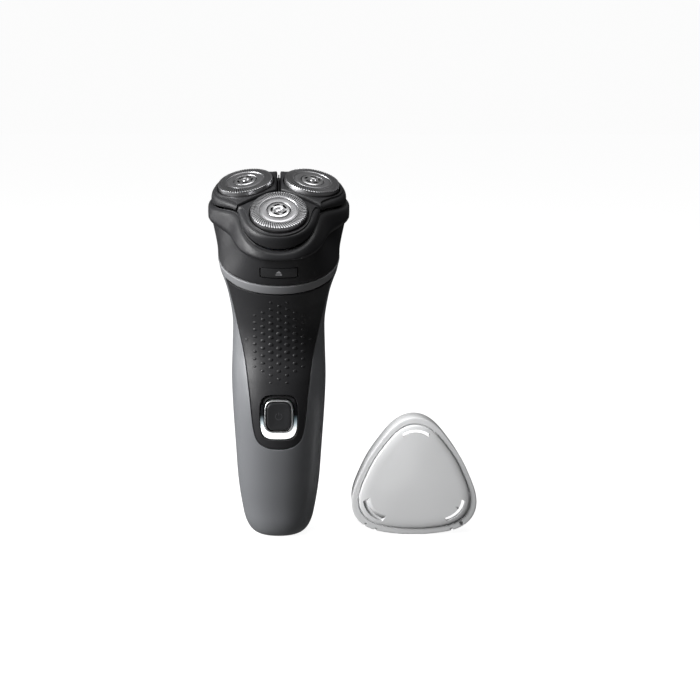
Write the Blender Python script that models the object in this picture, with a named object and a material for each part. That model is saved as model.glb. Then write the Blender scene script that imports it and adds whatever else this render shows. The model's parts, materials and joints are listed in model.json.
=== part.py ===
"""Rotary electric shaver: a hand-held body, a hinged head with three floating shavers and a protective cap.

Lengths in this file are millimetres; add_object and add_axis turn them into metres. +Z is up, the front
is -Y, and the origin is on the flat base. The head has its own frame: u is +X, v runs back along
the head's plane, and h is the height along the head's axis above the plane of the shaver discs.
"""

import math

import bmesh
import bpy
from mathutils import Matrix, Vector

MM = 0.001
GAP = 0.3
WALL = 1.8
COLLAR_WALL = 1.4

# Head
HEAD_TILT = math.radians(25)
HEAD_CENTRE = Vector((0, -7.0, 146.7))
DISC_RADIUS = 16.0
DISC_LEAN = math.radians(10)
DISCS = {"front": 0.0, "right": 120.0, "left": 240.0}
SEAM_MEAN, SEAM_LOBE, SEAM_TRIM = 25.3, 5.0, 0.6
SEAM_HEIGHT, SEAM_DIP = -7.2, 2.8
SEAM_GAP = 1.1
SIDE_GAP = 0.6
PETAL_TOP = -2.0
PETAL_SIDE_BOTTOM = -6.5
TILT_AXIS = -4.0
GUARD_RADIUS = 11.4
GUARD_SKIRT = 3.4
POCKET_RADIUS, POCKET_FLOOR, LEDGE_RADIUS, PETAL_UNDERSIDE = 11.9, -5.0, 10.3, -6.4
BOWL_BOTTOM = -14.0
BOWL_SWELL = [(0.15, 1.3), (0.5, 1.5), (0.8, 1.1)]  # share of the way down, and how far it swells there
BOWL_FLARE_REAR, BOWL_FLARE_FRONT = 0.6, 1.5
HINGE_V, HINGE_H = 24.6, -15.2
KNUCKLE_RADIUS, KNUCKLE_BORE, KNUCKLE_RELIEF, PIN_RADIUS = 1.9, 1.1, 2.3, 0.8
BOWL_KNUCKLE_HALF, COLLAR_KNUCKLE_NEAR, COLLAR_KNUCKLE_FAR = 4.2, 4.6, 8.4
RETAINER_BOTTOM, RETAINER_TOP = -12.6, -11.2

# Collar and band, as rings across the head's axis
RING_CENTRE = -5.0
COLLAR_TOP, COLLAR_MIDDLE, COLLAR_BOTTOM = -14.3, -22.0, -27.4
COLLAR_MARGIN, COLLAR_FILL = 0.9, 1.7  # its upper edge outside the seam, and more of it between holders
BAND_TOP, BAND_BOTTOM = -27.7, -31.5
RELEASE_HALF_WIDTH, RELEASE_HALF_HEIGHT, RELEASE_DEPTH = 7.3, 2.2, 2.2
RELEASE_FRONT, RELEASE_CURVE, RELEASE_HEIGHT = 29.6, 29.9, -21.2

# Drive
DRIVE_RADIUS = 14.4
PINION_TEETH, GEAR_TEETH = 16, 26
MODULE = 2 * DRIVE_RADIUS / (PINION_TEETH + GEAR_TEETH)
POST_RADIUS = 16.0
DECK_TOP, DECK_THICK = -18.5, 1.2
GEAR_TOP, GEAR_THICK = -20.2, 4.2
MOUNT_TOP, MOUNT_THICK = -24.9, 1.2
CAN_TOP, CAN_BOTTOM = -26.5, -39.4
CAN_HALF_WIDTH, CAN_HALF_DEPTH = 10.0, 7.5
PRESSURE_ANGLE = math.radians(20)

# Body sections: front y and z, rear y and z, half-width. A section lies on the line between the two points.
SECTIONS = [
    (-12.2, 0.0, 13.4, 0.0, 13.0),
    (-13.6, 12.0, 14.2, 12.0, 15.5),
    (-15.5, 24.0, 15.4, 24.0, 17.2),
    (-17.4, 40.0, 16.5, 40.0, 18.3),
    (-18.4, 56.0, 17.3, 56.0, 19.3),
    (-16.8, 68.0, 17.4, 70.0, 19.75),
    (-13.8, 79.0, 17.3, 84.0, 19.4),
    (-13.6, 88.0, 17.9, 98.0, 19.3),
    (-16.3, 96.5, 19.8, 110.0, 20.8),
    (-18.3, 101.0, 22.0, 118.5, 22.4),
    (-20.16, 105.13, 24.7, 126.05, 24.45),
]
BASE_ROUND, BASE_INSET = 9.0, 5.5
FRONT_POWER, REAR_POWER_BASE, REAR_POWER_TOP = 2.15, 2.3, 3.2

# Front cover's edge, right half, as x and z
COVER_EDGE = [
    (0, 40.4), (4.7, 41.0), (8.7, 43.5), (10.6, 49.5), (12.0, 62.4),
    (13.9, 77.0), (16.9, 90.3), (20.2, 105.0), (24.0, 120.0), (27.0, 134.0),
]
COVER_CORNER = 8.0  # the edge runs more across than up while x is less than this

# Power button
BUTTON_Z = 54.5
BEZEL_Z = BUTTON_Z - 0.5
BUTTON_FRONT = -18.0

# Inside
BATTERY_RADIUS, BATTERY_LENGTH, BATTERY_Y, BATTERY_Z = 7.0, 47.0, 5.4, 24.0
BOARD_Y, BOARD_Z = -8.2, 55.0
SOCKET_Y = 4.2
SPINE_FRONT, SPINE_REAR = -4.2, -2.4
CHASSIS_SCREW_X, CHASSIS_SCREW_Z = 9.0, 82.0

# Cap, standing beside the shaver on its flat edge
CAP_CENTRE = Vector((57.4, -8.0, 25.6))
CAP_WIDTH, CAP_DEPTH = 53.0, 13.0

STEPS = 24
RING_STEPS = 34


def material(name, colour, roughness, metallic=0.0):
    made = bpy.data.materials.new(name)
    made.use_nodes = True
    shader = made.node_tree.nodes["Principled BSDF"]
    shader.inputs["Base Color"].default_value = (*colour, 1)
    shader.inputs["Roughness"].default_value = roughness
    shader.inputs["Metallic"].default_value = metallic
    return made


def add_axis(name, frame, parent=None):
    """An empty on a joint's axis, which the moving pieces are parented to."""
    axis = bpy.data.objects.new(name, None)
    axis.empty_display_size = 0.005
    bpy.context.scene.collection.objects.link(axis)
    axis["frame"] = [value for row in frame for value in row]
    placed = frame.copy()
    placed.translation *= MM
    if parent:
        axis.parent = parent
        placed = axis_frame(parent).inverted() @ placed
    axis.matrix_local = placed
    return axis


def axis_frame(axis):
    values = axis["frame"]
    frame = Matrix([values[row * 4:row * 4 + 4] for row in range(4)])
    frame.translation *= MM
    return frame


def add_object(name, mesh, finish, frame=None, axis=None, smooth=35):
    """An object from a bmesh in millimetres. Its vertices are in frame's coordinates."""
    bmesh.ops.recalc_face_normals(mesh, faces=mesh.faces)
    bmesh.ops.scale(mesh, vec=(MM, MM, MM), verts=mesh.verts)
    data = bpy.data.meshes.new(name)
    mesh.to_mesh(data)
    mesh.free()
    if smooth:
        data.shade_smooth()
        data.set_sharp_from_angle(angle=math.radians(smooth))
    data.materials.append(finish)
    made = bpy.data.objects.new(name, data)
    bpy.context.scene.collection.objects.link(made)
    placed = (frame or Matrix()).copy()
    placed.translation *= MM
    if axis:
        made.parent = axis
        placed = axis_frame(axis).inverted() @ placed
    made.matrix_local = placed
    return made


def cut(target, cutter, operation="DIFFERENCE"):
    """A boolean that stays on the target; the cutter is a hidden helper."""
    cutter.hide_render = True
    cutter.display_type = "WIRE"
    step = target.modifiers.new(cutter.name, "BOOLEAN")
    step.operation = operation
    step.solver = "EXACT"
    step.object = cutter


def from_rings(rings, wrap=False):
    """A closed surface through rings of points. One point is a pole; wrap joins the last to the first."""
    mesh = bmesh.new()
    made = [[mesh.verts.new(point) for point in ring] for ring in rings]
    pairs = list(zip(made, made[1:]))
    if wrap:
        pairs.append((made[-1], made[0]))
    for low, high in pairs:
        for i in range(max(len(low), len(high))):
            j = i + 1
            corners = [low[i % len(low)], low[j % len(low)], high[j % len(high)], high[i % len(high)]]
            mesh.faces.new(list(dict.fromkeys(corners)))
    if not wrap:
        for ring in (made[0], made[-1]):
            if len(ring) > 1:
                mesh.faces.new(ring)
    return mesh


def turned(profile, steps=STEPS, wrap=False):
    """A shape turned about Z from (radius, height) points."""
    rings = []
    for radius, height in profile:
        if radius == 0:
            rings.append([Vector((0, 0, height))])
            continue
        turns = [math.tau * i / steps for i in range(steps)]
        rings.append([Vector((radius * math.cos(a), radius * math.sin(a), height)) for a in turns])
    return from_rings(rings, wrap)


def cylinder(radius, low, high, steps=STEPS):
    return turned([(0, low), (radius, low), (radius, high), (0, high)], steps)


def prism(outline, low, high):
    """An outline in x and y, extruded along z."""
    return from_rings([[Vector((x, y, z)) for x, y in outline] for z in (low, high)])


def box(low, high):
    mesh = bmesh.new()
    bmesh.ops.create_cube(mesh, size=1)
    size = [b - a for a, b in zip(low, high)]
    middle = [(a + b) / 2 for a, b in zip(low, high)]
    bmesh.ops.scale(mesh, vec=size, verts=mesh.verts)
    bmesh.ops.translate(mesh, vec=middle, verts=mesh.verts)
    return mesh


def bevelled(mesh, width, segments=2):
    bmesh.ops.recalc_face_normals(mesh, faces=mesh.faces)
    edges = [edge for edge in mesh.edges if edge.calc_face_angle(0) > math.radians(40)]
    bmesh.ops.bevel(mesh, geom=edges, offset=width, segments=segments, profile=0.5, affect="EDGES")
    return mesh


def power(value, exponent):
    return math.copysign(abs(value) ** exponent, value)


def squircle(half_width, half_height, exponent=4.0, steps=STEPS):
    """A rounded square, as x and y."""
    turns = [math.tau * i / steps for i in range(steps)]
    return [
        (half_width * power(math.cos(a), 2 / exponent), half_height * power(math.sin(a), 2 / exponent))
        for a in turns
    ]


def curve_through(points, steps):
    """A smooth curve through the points, with this many steps between two of them."""
    ends = [points[0], *points, points[-1]]
    made = []
    for a, b, c, d in zip(ends, ends[1:], ends[2:], ends[3:]):
        for step in range(steps):
            made.append(between(a, b, c, d, step / steps))
    return [*made, tuple(points[-1])]


def between(a, b, c, d, t):
    """The Catmull-Rom point between b and c."""
    weights = (
        (-t + 2 * t**2 - t**3) / 2,
        (2 - 5 * t**2 + 3 * t**3) / 2,
        (t + 4 * t**2 - 3 * t**3) / 2,
        (-(t**2) + t**3) / 2,
    )
    return tuple(sum(w * p[i] for w, p in zip(weights, (a, b, c, d))) for i in range(len(b)))


# Frames


def frame_of(origin, x, y):
    z = x.cross(y)
    frame = Matrix((x, y, z)).transposed().to_4x4()
    frame.translation = origin
    return frame


BACKWARD = Vector((0, math.cos(HEAD_TILT), math.sin(HEAD_TILT)))
HEAD = frame_of(HEAD_CENTRE, Vector((1, 0, 0)), BACKWARD)
HINGE = HEAD @ Matrix.Translation((0, HINGE_V, HINGE_H))
ALONG_PIN = HINGE @ Matrix.Rotation(math.pi / 2, 4, "Y")
FRONT_VIEW = frame_of(Vector(), Vector((1, 0, 0)), Vector((0, 0, 1)))  # x right, y up, z towards the front


def around(degrees):
    """Outward direction in the head's plane: 0 is the front, 90 the shaver's +X side."""
    angle = math.radians(degrees)
    return Vector((math.sin(angle), -math.cos(angle), 0))


def disc_frame(degrees, height=0.0):
    """A disc's frame: x is tangential, y is inward, z leans outward from the head's axis."""
    lean = Matrix.Rotation(math.radians(degrees), 4, "Z") @ Matrix.Translation((0, -DISC_RADIUS, 0))
    return HEAD @ lean @ Matrix.Rotation(DISC_LEAN, 4, "X") @ Matrix.Translation((0, 0, height))


def drive_frame(degrees):
    return HEAD @ Matrix.Translation(around(degrees) * DRIVE_RADIUS)


# Body


def section(t):
    """Body section t, smooth between the listed ones: centre, half of the front-to-rear line, half-width."""
    i = min(int(t), len(SECTIONS) - 2)
    row = [SECTIONS[max(0, min(k, len(SECTIONS) - 1))] for k in (i - 1, i, i + 1, i + 2)]
    front_y, front_z, rear_y, rear_z, half_width = between(*row, t - i)
    front = Vector((0, front_y, front_z))
    rear = Vector((0, rear_y, rear_z))
    return (front + rear) / 2, (rear - front) / 2, half_width


def body_ring(t, inset, steps=RING_STEPS):
    centre, depth, half_width = section(t)
    rear_power = REAR_POWER_BASE + (REAR_POWER_TOP - REAR_POWER_BASE) * (t / (len(SECTIONS) - 1)) ** 2
    shrink = 1 - inset / depth.length
    points = []
    for i in range(steps):
        angle = math.tau * i / steps
        exponent = 2 / (FRONT_POWER if math.sin(angle) < 0 else rear_power)
        x = (half_width - inset) * power(math.cos(angle), exponent)
        points.append(centre + depth * shrink * power(math.sin(angle), exponent) + Vector((x, 0, 0)))
    return points


def base_inset(height):
    if height >= BASE_ROUND:
        return 0.0
    return BASE_INSET * (1 - math.sqrt(1 - (1 - height / BASE_ROUND) ** 2))


def body_shell():
    first = SECTIONS[1][1]
    low = [(z / first, base_inset(z)) for z in (0.0, 0.8, 3.0, 9.0)]
    high = [(float(k), 0.0) for k in range(1, len(SECTIONS))]
    outer = [body_ring(t, inset) for t, inset in low + high[:-1]]
    outer.append(body_ring(len(SECTIONS) - 1, 0))
    inner = [body_ring(t, WALL) for t, _ in reversed(high[:-1])]
    inner.insert(0, body_ring(len(SECTIONS) - 1, WALL))
    inner += [body_ring(z / first, base_inset(z) + WALL) for z in (8.0, 2.6)]
    return from_rings(outer + inner)


def cover_prism(spread):
    """The front cover's outline, this much wider, as a prism through the front half of the body."""
    half = curve_through(COVER_EDGE, 3)
    grown = [(x + (spread if x else 0), z - (spread if x < COVER_CORNER else 0)) for x, z in half]
    outline = [(-x, z) for x, z in reversed(grown[1:])] + grown
    return prism(outline, -1.0 - spread, 40.0)


def make_body(grey, black):
    rear = add_object("rear_housing", body_shell(), grey)
    cut(rear, add_object("rear_housing_window", cover_prism(GAP / 2), grey, FRONT_VIEW))
    socket_hole = box((-5.3, SOCKET_Y - 3.2, -1), (5.3, SOCKET_Y + 3.2, 6))
    cut(rear, add_object("socket_hole", socket_hole, grey))

    cover = add_object("front_cover", body_shell(), black)
    cut(cover, add_object("front_cover_limit", cover_prism(-GAP / 2), black, FRONT_VIEW), "INTERSECT")
    window = prism([(x, y + BEZEL_Z) for x, y in squircle(7.9, 9.6)], 0, 40)
    cut(cover, add_object("button_window", window, black, FRONT_VIEW))


def make_power_button(black, dark, silver, light):
    """The bezel fills the cover's window; the light ring lies in it, round the lower half of the button."""
    place = Matrix.Translation((0, 0, BEZEL_Z)) @ FRONT_VIEW
    bezel = add_object("button_bezel", prism(squircle(7.6, 9.3), 13.4, 16.0), black, place)
    hole = [(x, y + BUTTON_Z - BEZEL_Z) for x, y in squircle(6.3, 7.3)]
    cut(bezel, add_object("button_hole", prism(hole, 10, 20), black, place))

    outline = u_turn(7.5, 9.2, 0) + u_turn(6.35, 7.2, BUTTON_Z - BEZEL_Z)[::-1]
    add_object("light_ring", prism(outline, 16.3, 17.1), light, place)

    press = Matrix.Translation((0, BUTTON_FRONT, BUTTON_Z)) @ FRONT_VIEW
    axis = add_axis("power_button_axis", press)
    face = bevelled(prism(squircle(5.0, 5.85), -3.9, -0.1), 0.3)
    add_object("power_button", face, dark, press, axis)
    profile = ((5.9, 6.9, -2.6), (5.9, 6.9, -0.2), (5.6, 6.55, 0.1), (5.3, 6.15, -0.1), (5.3, 6.15, -2.6))
    rim = from_rings([ring_at(squircle(w, h), z) for w, h, z in profile], wrap=True)
    add_object("power_button_rim", rim, silver, press, axis)


def u_turn(half_width, half_height, raised, exponent=0.55, steps=24):
    """A rounded U from the right side, down round the bottom, to the left side."""
    turns = [math.radians(22 - 224 * i / steps) for i in range(steps + 1)]
    return [
        (half_width * power(math.cos(a), exponent), raised + half_height * power(math.sin(a), exponent))
        for a in turns
    ]


def ring_at(outline, height):
    return [Vector((x, y, height)) for x, y in outline]


# Head


def seam_radius(degrees):
    """Plan radius of the seam between the shaver holders and the bowl."""
    angle = math.radians(degrees)
    return SEAM_MEAN + SEAM_LOBE * math.cos(3 * angle) - SEAM_TRIM * math.cos(6 * angle)


def seam_height(degrees):
    return SEAM_HEIGHT - SEAM_DIP * math.cos(math.radians(3 * degrees))


def oval_point(angle, share, spread):
    """A point of the head's oval, at a share of the way from the collar's top to the band's bottom."""
    half_width = 27.4 - 2.9 * share + spread
    front, rear = 25.2 - 0.7 * share + spread, 26.6 - 1.6 * share + spread
    sine = math.sin(angle)
    exponent = 2 / (2.1 if sine < 0 else REAR_POWER_TOP)
    depth = (front if sine < 0 else rear) * power(sine, exponent)
    return Vector((half_width * power(math.cos(angle), exponent), RING_CENTRE + depth, 0))


def collar_waist(angle):
    """How far the collar's upper edge is drawn in from the oval, towards the seam between two holders."""
    edge = oval_point(angle, 0, 0)
    turn = math.atan2(edge.x, -edge.y)
    fill = COLLAR_FILL * (1 - math.cos(3 * turn)) / 2
    return max(0, edge.length - seam_radius(math.degrees(turn)) - COLLAR_MARGIN - fill)


def collar_point(angle, height, inset=0.0, flare=0.0):
    """A point of the collar or the band at this height, in the head's frame."""
    share = (COLLAR_TOP - height) / (COLLAR_TOP - BAND_BOTTOM)
    point = oval_point(angle, share, flare - inset)
    above = max(0, (height - COLLAR_BOTTOM) / (COLLAR_TOP - COLLAR_BOTTOM))
    point -= point.normalized() * collar_waist(angle) * above
    point.z = height
    return point


def collar_ring(height, inset=0.0, flare=0.0, steps=RING_STEPS):
    return [collar_point(math.tau * i / steps, height, inset, flare) for i in range(steps)]


def bowl_ring(share, grow, steps=48):
    """A ring of the bowl: share 0 follows the holders' seam, 1 the collar's outline, flared at the front."""
    ring = []
    for i in range(steps):
        angle = math.tau * i / steps
        frontness = (1 - math.sin(angle)) / 2
        flare = BOWL_FLARE_REAR + (BOWL_FLARE_FRONT - BOWL_FLARE_REAR) * frontness
        low = collar_point(angle, COLLAR_TOP, 0, flare)
        degrees = math.degrees(math.atan2(low.x, -low.y))
        top = around(degrees) * (seam_radius(degrees) + grow)
        low = low + low.xy.normalized().to_3d() * grow
        point = top.lerp(low, share)
        point.z = (seam_height(degrees) - SEAM_GAP) * (1 - share) + BOWL_BOTTOM * share
        ring.append(point)
    return ring


def make_bowl(black, axis):
    outer = [bowl_ring(share, grow) for share, grow in [(0, 0), *BOWL_SWELL, (1, 0)]]
    inner = [bowl_ring(1, -WALL), bowl_ring(0.5, -WALL - 0.2), bowl_ring(0, -WALL)]
    bowl = add_object("head_frame", from_rings(outer + inner, wrap=True), black, HEAD, axis)
    for side in (-1, 1):
        near, far = sorted((side * (BOWL_KNUCKLE_HALF + 0.1), side * (COLLAR_KNUCKLE_FAR + 0.4)))
        relief = cylinder(KNUCKLE_RELIEF, near, far, 16)
        cut(bowl, add_object(f"bowl_relief_{side + 1}", relief, black, ALONG_PIN, axis))
    knuckle = cylinder(KNUCKLE_RADIUS, -BOWL_KNUCKLE_HALF, BOWL_KNUCKLE_HALF, 14)
    cut(bowl, add_object("bowl_knuckle", knuckle, black, ALONG_PIN, axis), "UNION")
    web_half = BOWL_KNUCKLE_HALF - 0.3
    web = box((-web_half, -4.35, 1.2), (web_half, 0.4, 2.9))
    cut(bowl, add_object("bowl_knuckle_web", web, black, HINGE, axis), "UNION")
    bore = cylinder(KNUCKLE_BORE, -6, 6, 12)
    cut(bowl, add_object("bowl_knuckle_bore", bore, black, ALONG_PIN, axis))


def petal_reach(angle):
    """Distance from a disc's centre to its holder's edge, for the front holder, in the head's plane."""
    way = Vector((math.cos(angle), math.sin(angle), 0))
    centre = around(0) * DISC_RADIUS
    reach = 40.0
    for side in (1, -1):
        normal = Vector((side * math.cos(math.radians(60)), math.sin(math.radians(60)), 0))
        run = way.dot(normal)
        if run > 1e-9:
            reach = min(reach, (-SIDE_GAP - centre.dot(normal)) / run)
    low, high = 0.0, reach
    for _ in range(30):
        middle = (low + high) / 2
        point = centre + way * middle
        inside = point.length < seam_radius(math.degrees(math.atan2(point.x, -point.y)))
        low, high = (middle, high) if inside else (low, middle)
    return low


def petal_angles():
    """Even angles round the disc, plus the exact ones of the holder's three corners."""
    corner = around(60) * seam_radius(60) - around(0) * DISC_RADIUS
    side = math.atan2(corner.y, corner.x)
    corners = [side, math.pi / 2, math.pi - side]
    even = [math.tau * i / 28 for i in range(28)]
    spare = math.tau / 80
    return sorted([a for a in even if min(abs(a - c) for c in corners) > spare] + corners)


def petal_top(point):
    """Height of the holder's top, which is parallel to its disc, over this point of the head's plane."""
    return PETAL_TOP / math.cos(DISC_LEAN) - math.tan(DISC_LEAN) * (-point.y - DISC_RADIUS)


def petal_rings():
    """Rings of a holder in the head's frame, as if its disc were at the front, from the hem inwards."""
    centre = around(0) * DISC_RADIUS
    tilted = Matrix.Translation(centre) @ Matrix.Rotation(DISC_LEAN, 4, "X")
    pocket = (
        (POCKET_RADIUS, PETAL_TOP),
        (POCKET_RADIUS, POCKET_FLOOR),
        (LEDGE_RADIUS, POCKET_FLOOR),
        (LEDGE_RADIUS, PETAL_UNDERSIDE),
    )
    columns = []
    for angle in petal_angles():
        way = Vector((math.cos(angle), math.sin(angle), 0))
        reach = petal_reach(angle)
        edge = centre + way * reach
        degrees = math.degrees(math.atan2(edge.x, -edge.y))
        on_seam = edge.length > seam_radius(degrees) - 0.05
        corner = around(60) * seam_radius(60)
        side_rise = 1.8 * (edge.length / corner.length) ** 4
        hem = seam_height(degrees) if on_seam else PETAL_SIDE_BOTTOM + side_rise
        rise = petal_top(edge) - hem
        rim = max(reach - 2.6, POCKET_RADIUS + 0.7)
        shoulder = centre + way * max(reach - (1.5 if on_seam else 0.4), rim + 0.2)
        top = centre + way * rim
        column = [
            edge + Vector((0, 0, hem)),
            edge + Vector((0, 0, hem + rise * (0.45 if on_seam else 0.85))),
            shoulder + Vector((0, 0, hem + rise * 0.97)),
            top + Vector((0, 0, petal_top(top))),
        ]
        column += [tilted @ (way * radius + Vector((0, 0, depth))) for radius, depth in pocket]
        column.append(centre + way * (reach - 1.2) + Vector((0, 0, hem)))
        columns.append(column)
    return [list(ring) for ring in zip(*columns)]


def make_shavers(black, steel, chrome, blue, head):
    """Each shaver is a leaning holder, a floating guard with its centre disc, and a cutter on its hub."""
    for name, degrees in DISCS.items():
        tilt = disc_frame(degrees, TILT_AXIS)
        tilt_axis = add_axis(f"holder_{name}_axis", tilt, head)
        turn = HEAD @ Matrix.Rotation(math.radians(degrees), 4, "Z")
        add_object(f"head_holder_{name}", from_rings(petal_rings(), wrap=True), black, turn, tilt_axis)

        disc = disc_frame(degrees)
        float_axis = add_axis(f"guard_{name}_axis", disc, tilt_axis)
        guard_profile = [
            (4.6, 0), (11.0, 0), (GUARD_RADIUS, -0.4), (GUARD_RADIUS, -GUARD_SKIRT),
            (10.8, -GUARD_SKIRT), (10.8, -0.6), (4.6, -0.6),
        ]
        guard = turned(guard_profile, 30, wrap=True)
        add_object(f"shaving_guard_{name}", guard, steel, disc, float_axis)
        centre = turned([(0, 0.25), (3.4, 0.2), (4.3, 0), (4.3, -0.8), (0, -0.8)], 28)
        add_object(f"guard_centre_{name}", centre, chrome, disc, float_axis)

        hub_profile = [(0, -1.4), (3.6, -1.4), (3.6, -7.0), (2.5, -7.0), (2.5, -3.4), (0, -3.4)]
        add_object(f"cutter_hub_{name}", turned(hub_profile, 20), blue, disc, float_axis)
        add_object(f"cutter_{name}", cutter_mesh(), steel, disc, float_axis, smooth=0)


def cutter_mesh(blades=9):
    """A ring with upright blades round its edge, all one outline that steps up and down round the circle."""
    rings = [[] for _ in range(6)]
    for i in range(blades):
        for share, raised in ((-0.17, False), (-0.16, True), (0.16, True), (0.17, False)):
            angle = math.tau * (i + share) / blades
            way = Vector((math.cos(angle), math.sin(angle), 0))
            top = -0.9 if raised else -2.7
            profile = ((4.1, -3.4), (9.9, -3.4), (9.9, top), (7.2, top), (7.0, -2.7), (4.1, -2.7))
            for ring, (radius, height) in zip(rings, profile):
                ring.append(way * radius + Vector((0, 0, height)))
    return from_rings(rings, wrap=True)


def make_retainer(black, grey, head):
    """The plate under the cutters, seen when the head is open, and the key that locks it."""
    disc = cylinder(4.8, RETAINER_BOTTOM, RETAINER_TOP)
    plate = add_object("retaining_frame", disc, black, HEAD, head)
    for name, degrees in DISCS.items():
        corners = [(r, RETAINER_BOTTOM) for r in (8.4, 10.4)] + [(r, RETAINER_TOP) for r in (10.4, 8.4)]
        ring = turned(corners, 20, wrap=True)
        cut(plate, add_object(f"retainer_ring_{name}", ring, black, drive_frame(degrees), head), "UNION")
        arm = HEAD @ Matrix.Rotation(math.radians(degrees + 60), 4, "Z")
        arm_box = box((-2.4, -17.0, RETAINER_BOTTOM + 0.1), (2.4, -3.0, RETAINER_TOP - 0.1))
        cut(plate, add_object(f"retainer_arm_{name}", arm_box, black, arm, head), "UNION")
    bore = cylinder(1.7, -20, -5, 16)
    cut(plate, add_object("retainer_bore", bore, black, HEAD, head))

    axis = add_axis("retaining_lock_axis", HEAD, head)
    key_profile = [
        (0, -15.0), (3.4, -15.0), (3.8, -14.6), (3.8, RETAINER_BOTTOM - GAP),
        (1.4, RETAINER_BOTTOM - GAP), (1.4, -10.6), (0, -10.6),
    ]
    lock = add_object("retaining_lock", turned(key_profile), grey, HEAD, axis)
    wing = bevelled(box((-5.2, -0.9, -15.0), (5.2, 0.9, -13.2)), 0.3, 1)
    cut(lock, add_object("retaining_lock_wing", wing, grey, HEAD, axis), "UNION")


def make_collar(black, grey, dark):
    """The collar with its two hinge knuckles and the pin, the band below it and the release button."""
    rings = [
        collar_ring(COLLAR_TOP, COLLAR_WALL), collar_ring(COLLAR_TOP, 0.5), collar_ring(COLLAR_TOP - 0.5),
        collar_ring(COLLAR_MIDDLE), collar_ring(COLLAR_BOTTOM + 0.7), collar_ring(COLLAR_BOTTOM, 0.7),
        collar_ring(COLLAR_BOTTOM, COLLAR_WALL), collar_ring(COLLAR_MIDDLE, COLLAR_WALL),
    ]
    collar = add_object("head_collar", from_rings(rings, wrap=True), black, HEAD)
    spread = RELEASE_HALF_WIDTH + 0.4
    low, high = RELEASE_HEIGHT - RELEASE_HALF_HEIGHT - 0.4, RELEASE_HEIGHT + RELEASE_HALF_HEIGHT + 0.4
    window = box((-spread, -40, low), (spread, -22, high))
    cut(collar, add_object("release_window", window, black, HEAD))
    for side in (-1, 1):
        near, far = sorted((side * COLLAR_KNUCKLE_NEAR, side * COLLAR_KNUCKLE_FAR))
        knuckle = cylinder(KNUCKLE_RADIUS, near, far, 16)
        cut(collar, add_object(f"collar_knuckle_{side + 1}", knuckle, black, ALONG_PIN), "UNION")
        lug = box((near + 0.15, -4.6, -4.6), (far - 0.15, 0, -1.2))
        cut(collar, add_object(f"collar_lug_{side + 1}", lug, black, HINGE), "UNION")
    bore = cylinder(KNUCKLE_BORE, -9, 9, 12)
    cut(collar, add_object("collar_knuckle_bore", bore, black, ALONG_PIN))
    relief_half = BOWL_KNUCKLE_HALF + GAP
    relief = cylinder(KNUCKLE_RELIEF, -relief_half, relief_half, 16)
    cut(collar, add_object("collar_relief", relief, black, ALONG_PIN))
    half = COLLAR_KNUCKLE_FAR - 0.2
    pin_profile = [(0, -half), (PIN_RADIUS - 0.1, -half), (PIN_RADIUS, -half + 0.1)]
    pin_profile += [(radius, -height) for radius, height in reversed(pin_profile)]
    add_object("hinge_pin", turned(pin_profile, 12), dark, ALONG_PIN)

    rings = [
        collar_ring(BAND_TOP, WALL), collar_ring(BAND_TOP, 0.2), collar_ring(BAND_TOP - 0.3, -0.1),
        collar_ring(BAND_BOTTOM + 0.3, -0.1), collar_ring(BAND_BOTTOM, 0.1), collar_ring(BAND_BOTTOM, WALL),
    ]
    add_object("trim_band", from_rings(rings, wrap=True), grey, HEAD)

    press = HEAD @ Matrix.Translation((0, -RELEASE_FRONT, RELEASE_HEIGHT))
    axis = add_axis("release_button_axis", press)
    across = [RELEASE_HALF_WIDTH * k / 6 for k in range(-6, 7)]
    outline = [(x, RELEASE_FRONT - math.sqrt(RELEASE_CURVE**2 - x**2)) for x in across]
    outline += [(RELEASE_HALF_WIDTH, RELEASE_DEPTH), (-RELEASE_HALF_WIDTH, RELEASE_DEPTH)]
    key = bevelled(prism(outline, -RELEASE_HALF_HEIGHT, RELEASE_HALF_HEIGHT), 0.3)
    add_object("release_button", key, black, press, axis)


# Drive


def gear_mesh(teeth, phase, thickness, backlash=0.12):
    """An involute spur gear about Z, with a tooth centred at the phase angle."""
    pitch = MODULE * teeth / 2
    base = pitch * math.cos(PRESSURE_ANGLE)
    inv_pitch = math.tan(PRESSURE_ANGLE) - PRESSURE_ANGLE
    half_tooth = math.pi / (2 * teeth) - backlash / (2 * pitch)
    outline = []
    for tooth in range(teeth):
        middle = phase + math.tau * tooth / teeth
        flank = []
        for radius in (pitch - 1.15 * MODULE, pitch + 0.85 * MODULE):
            pressure = math.acos(min(1, base / radius))
            flank.append((radius, half_tooth + inv_pitch - (math.tan(pressure) - pressure)))
        for radius, half in flank:
            outline.append((radius * math.cos(middle - half), radius * math.sin(middle - half)))
        for radius, half in reversed(flank):
            outline.append((radius * math.cos(middle + half), radius * math.sin(middle + half)))
    return prism(outline, -thickness, 0)


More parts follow.
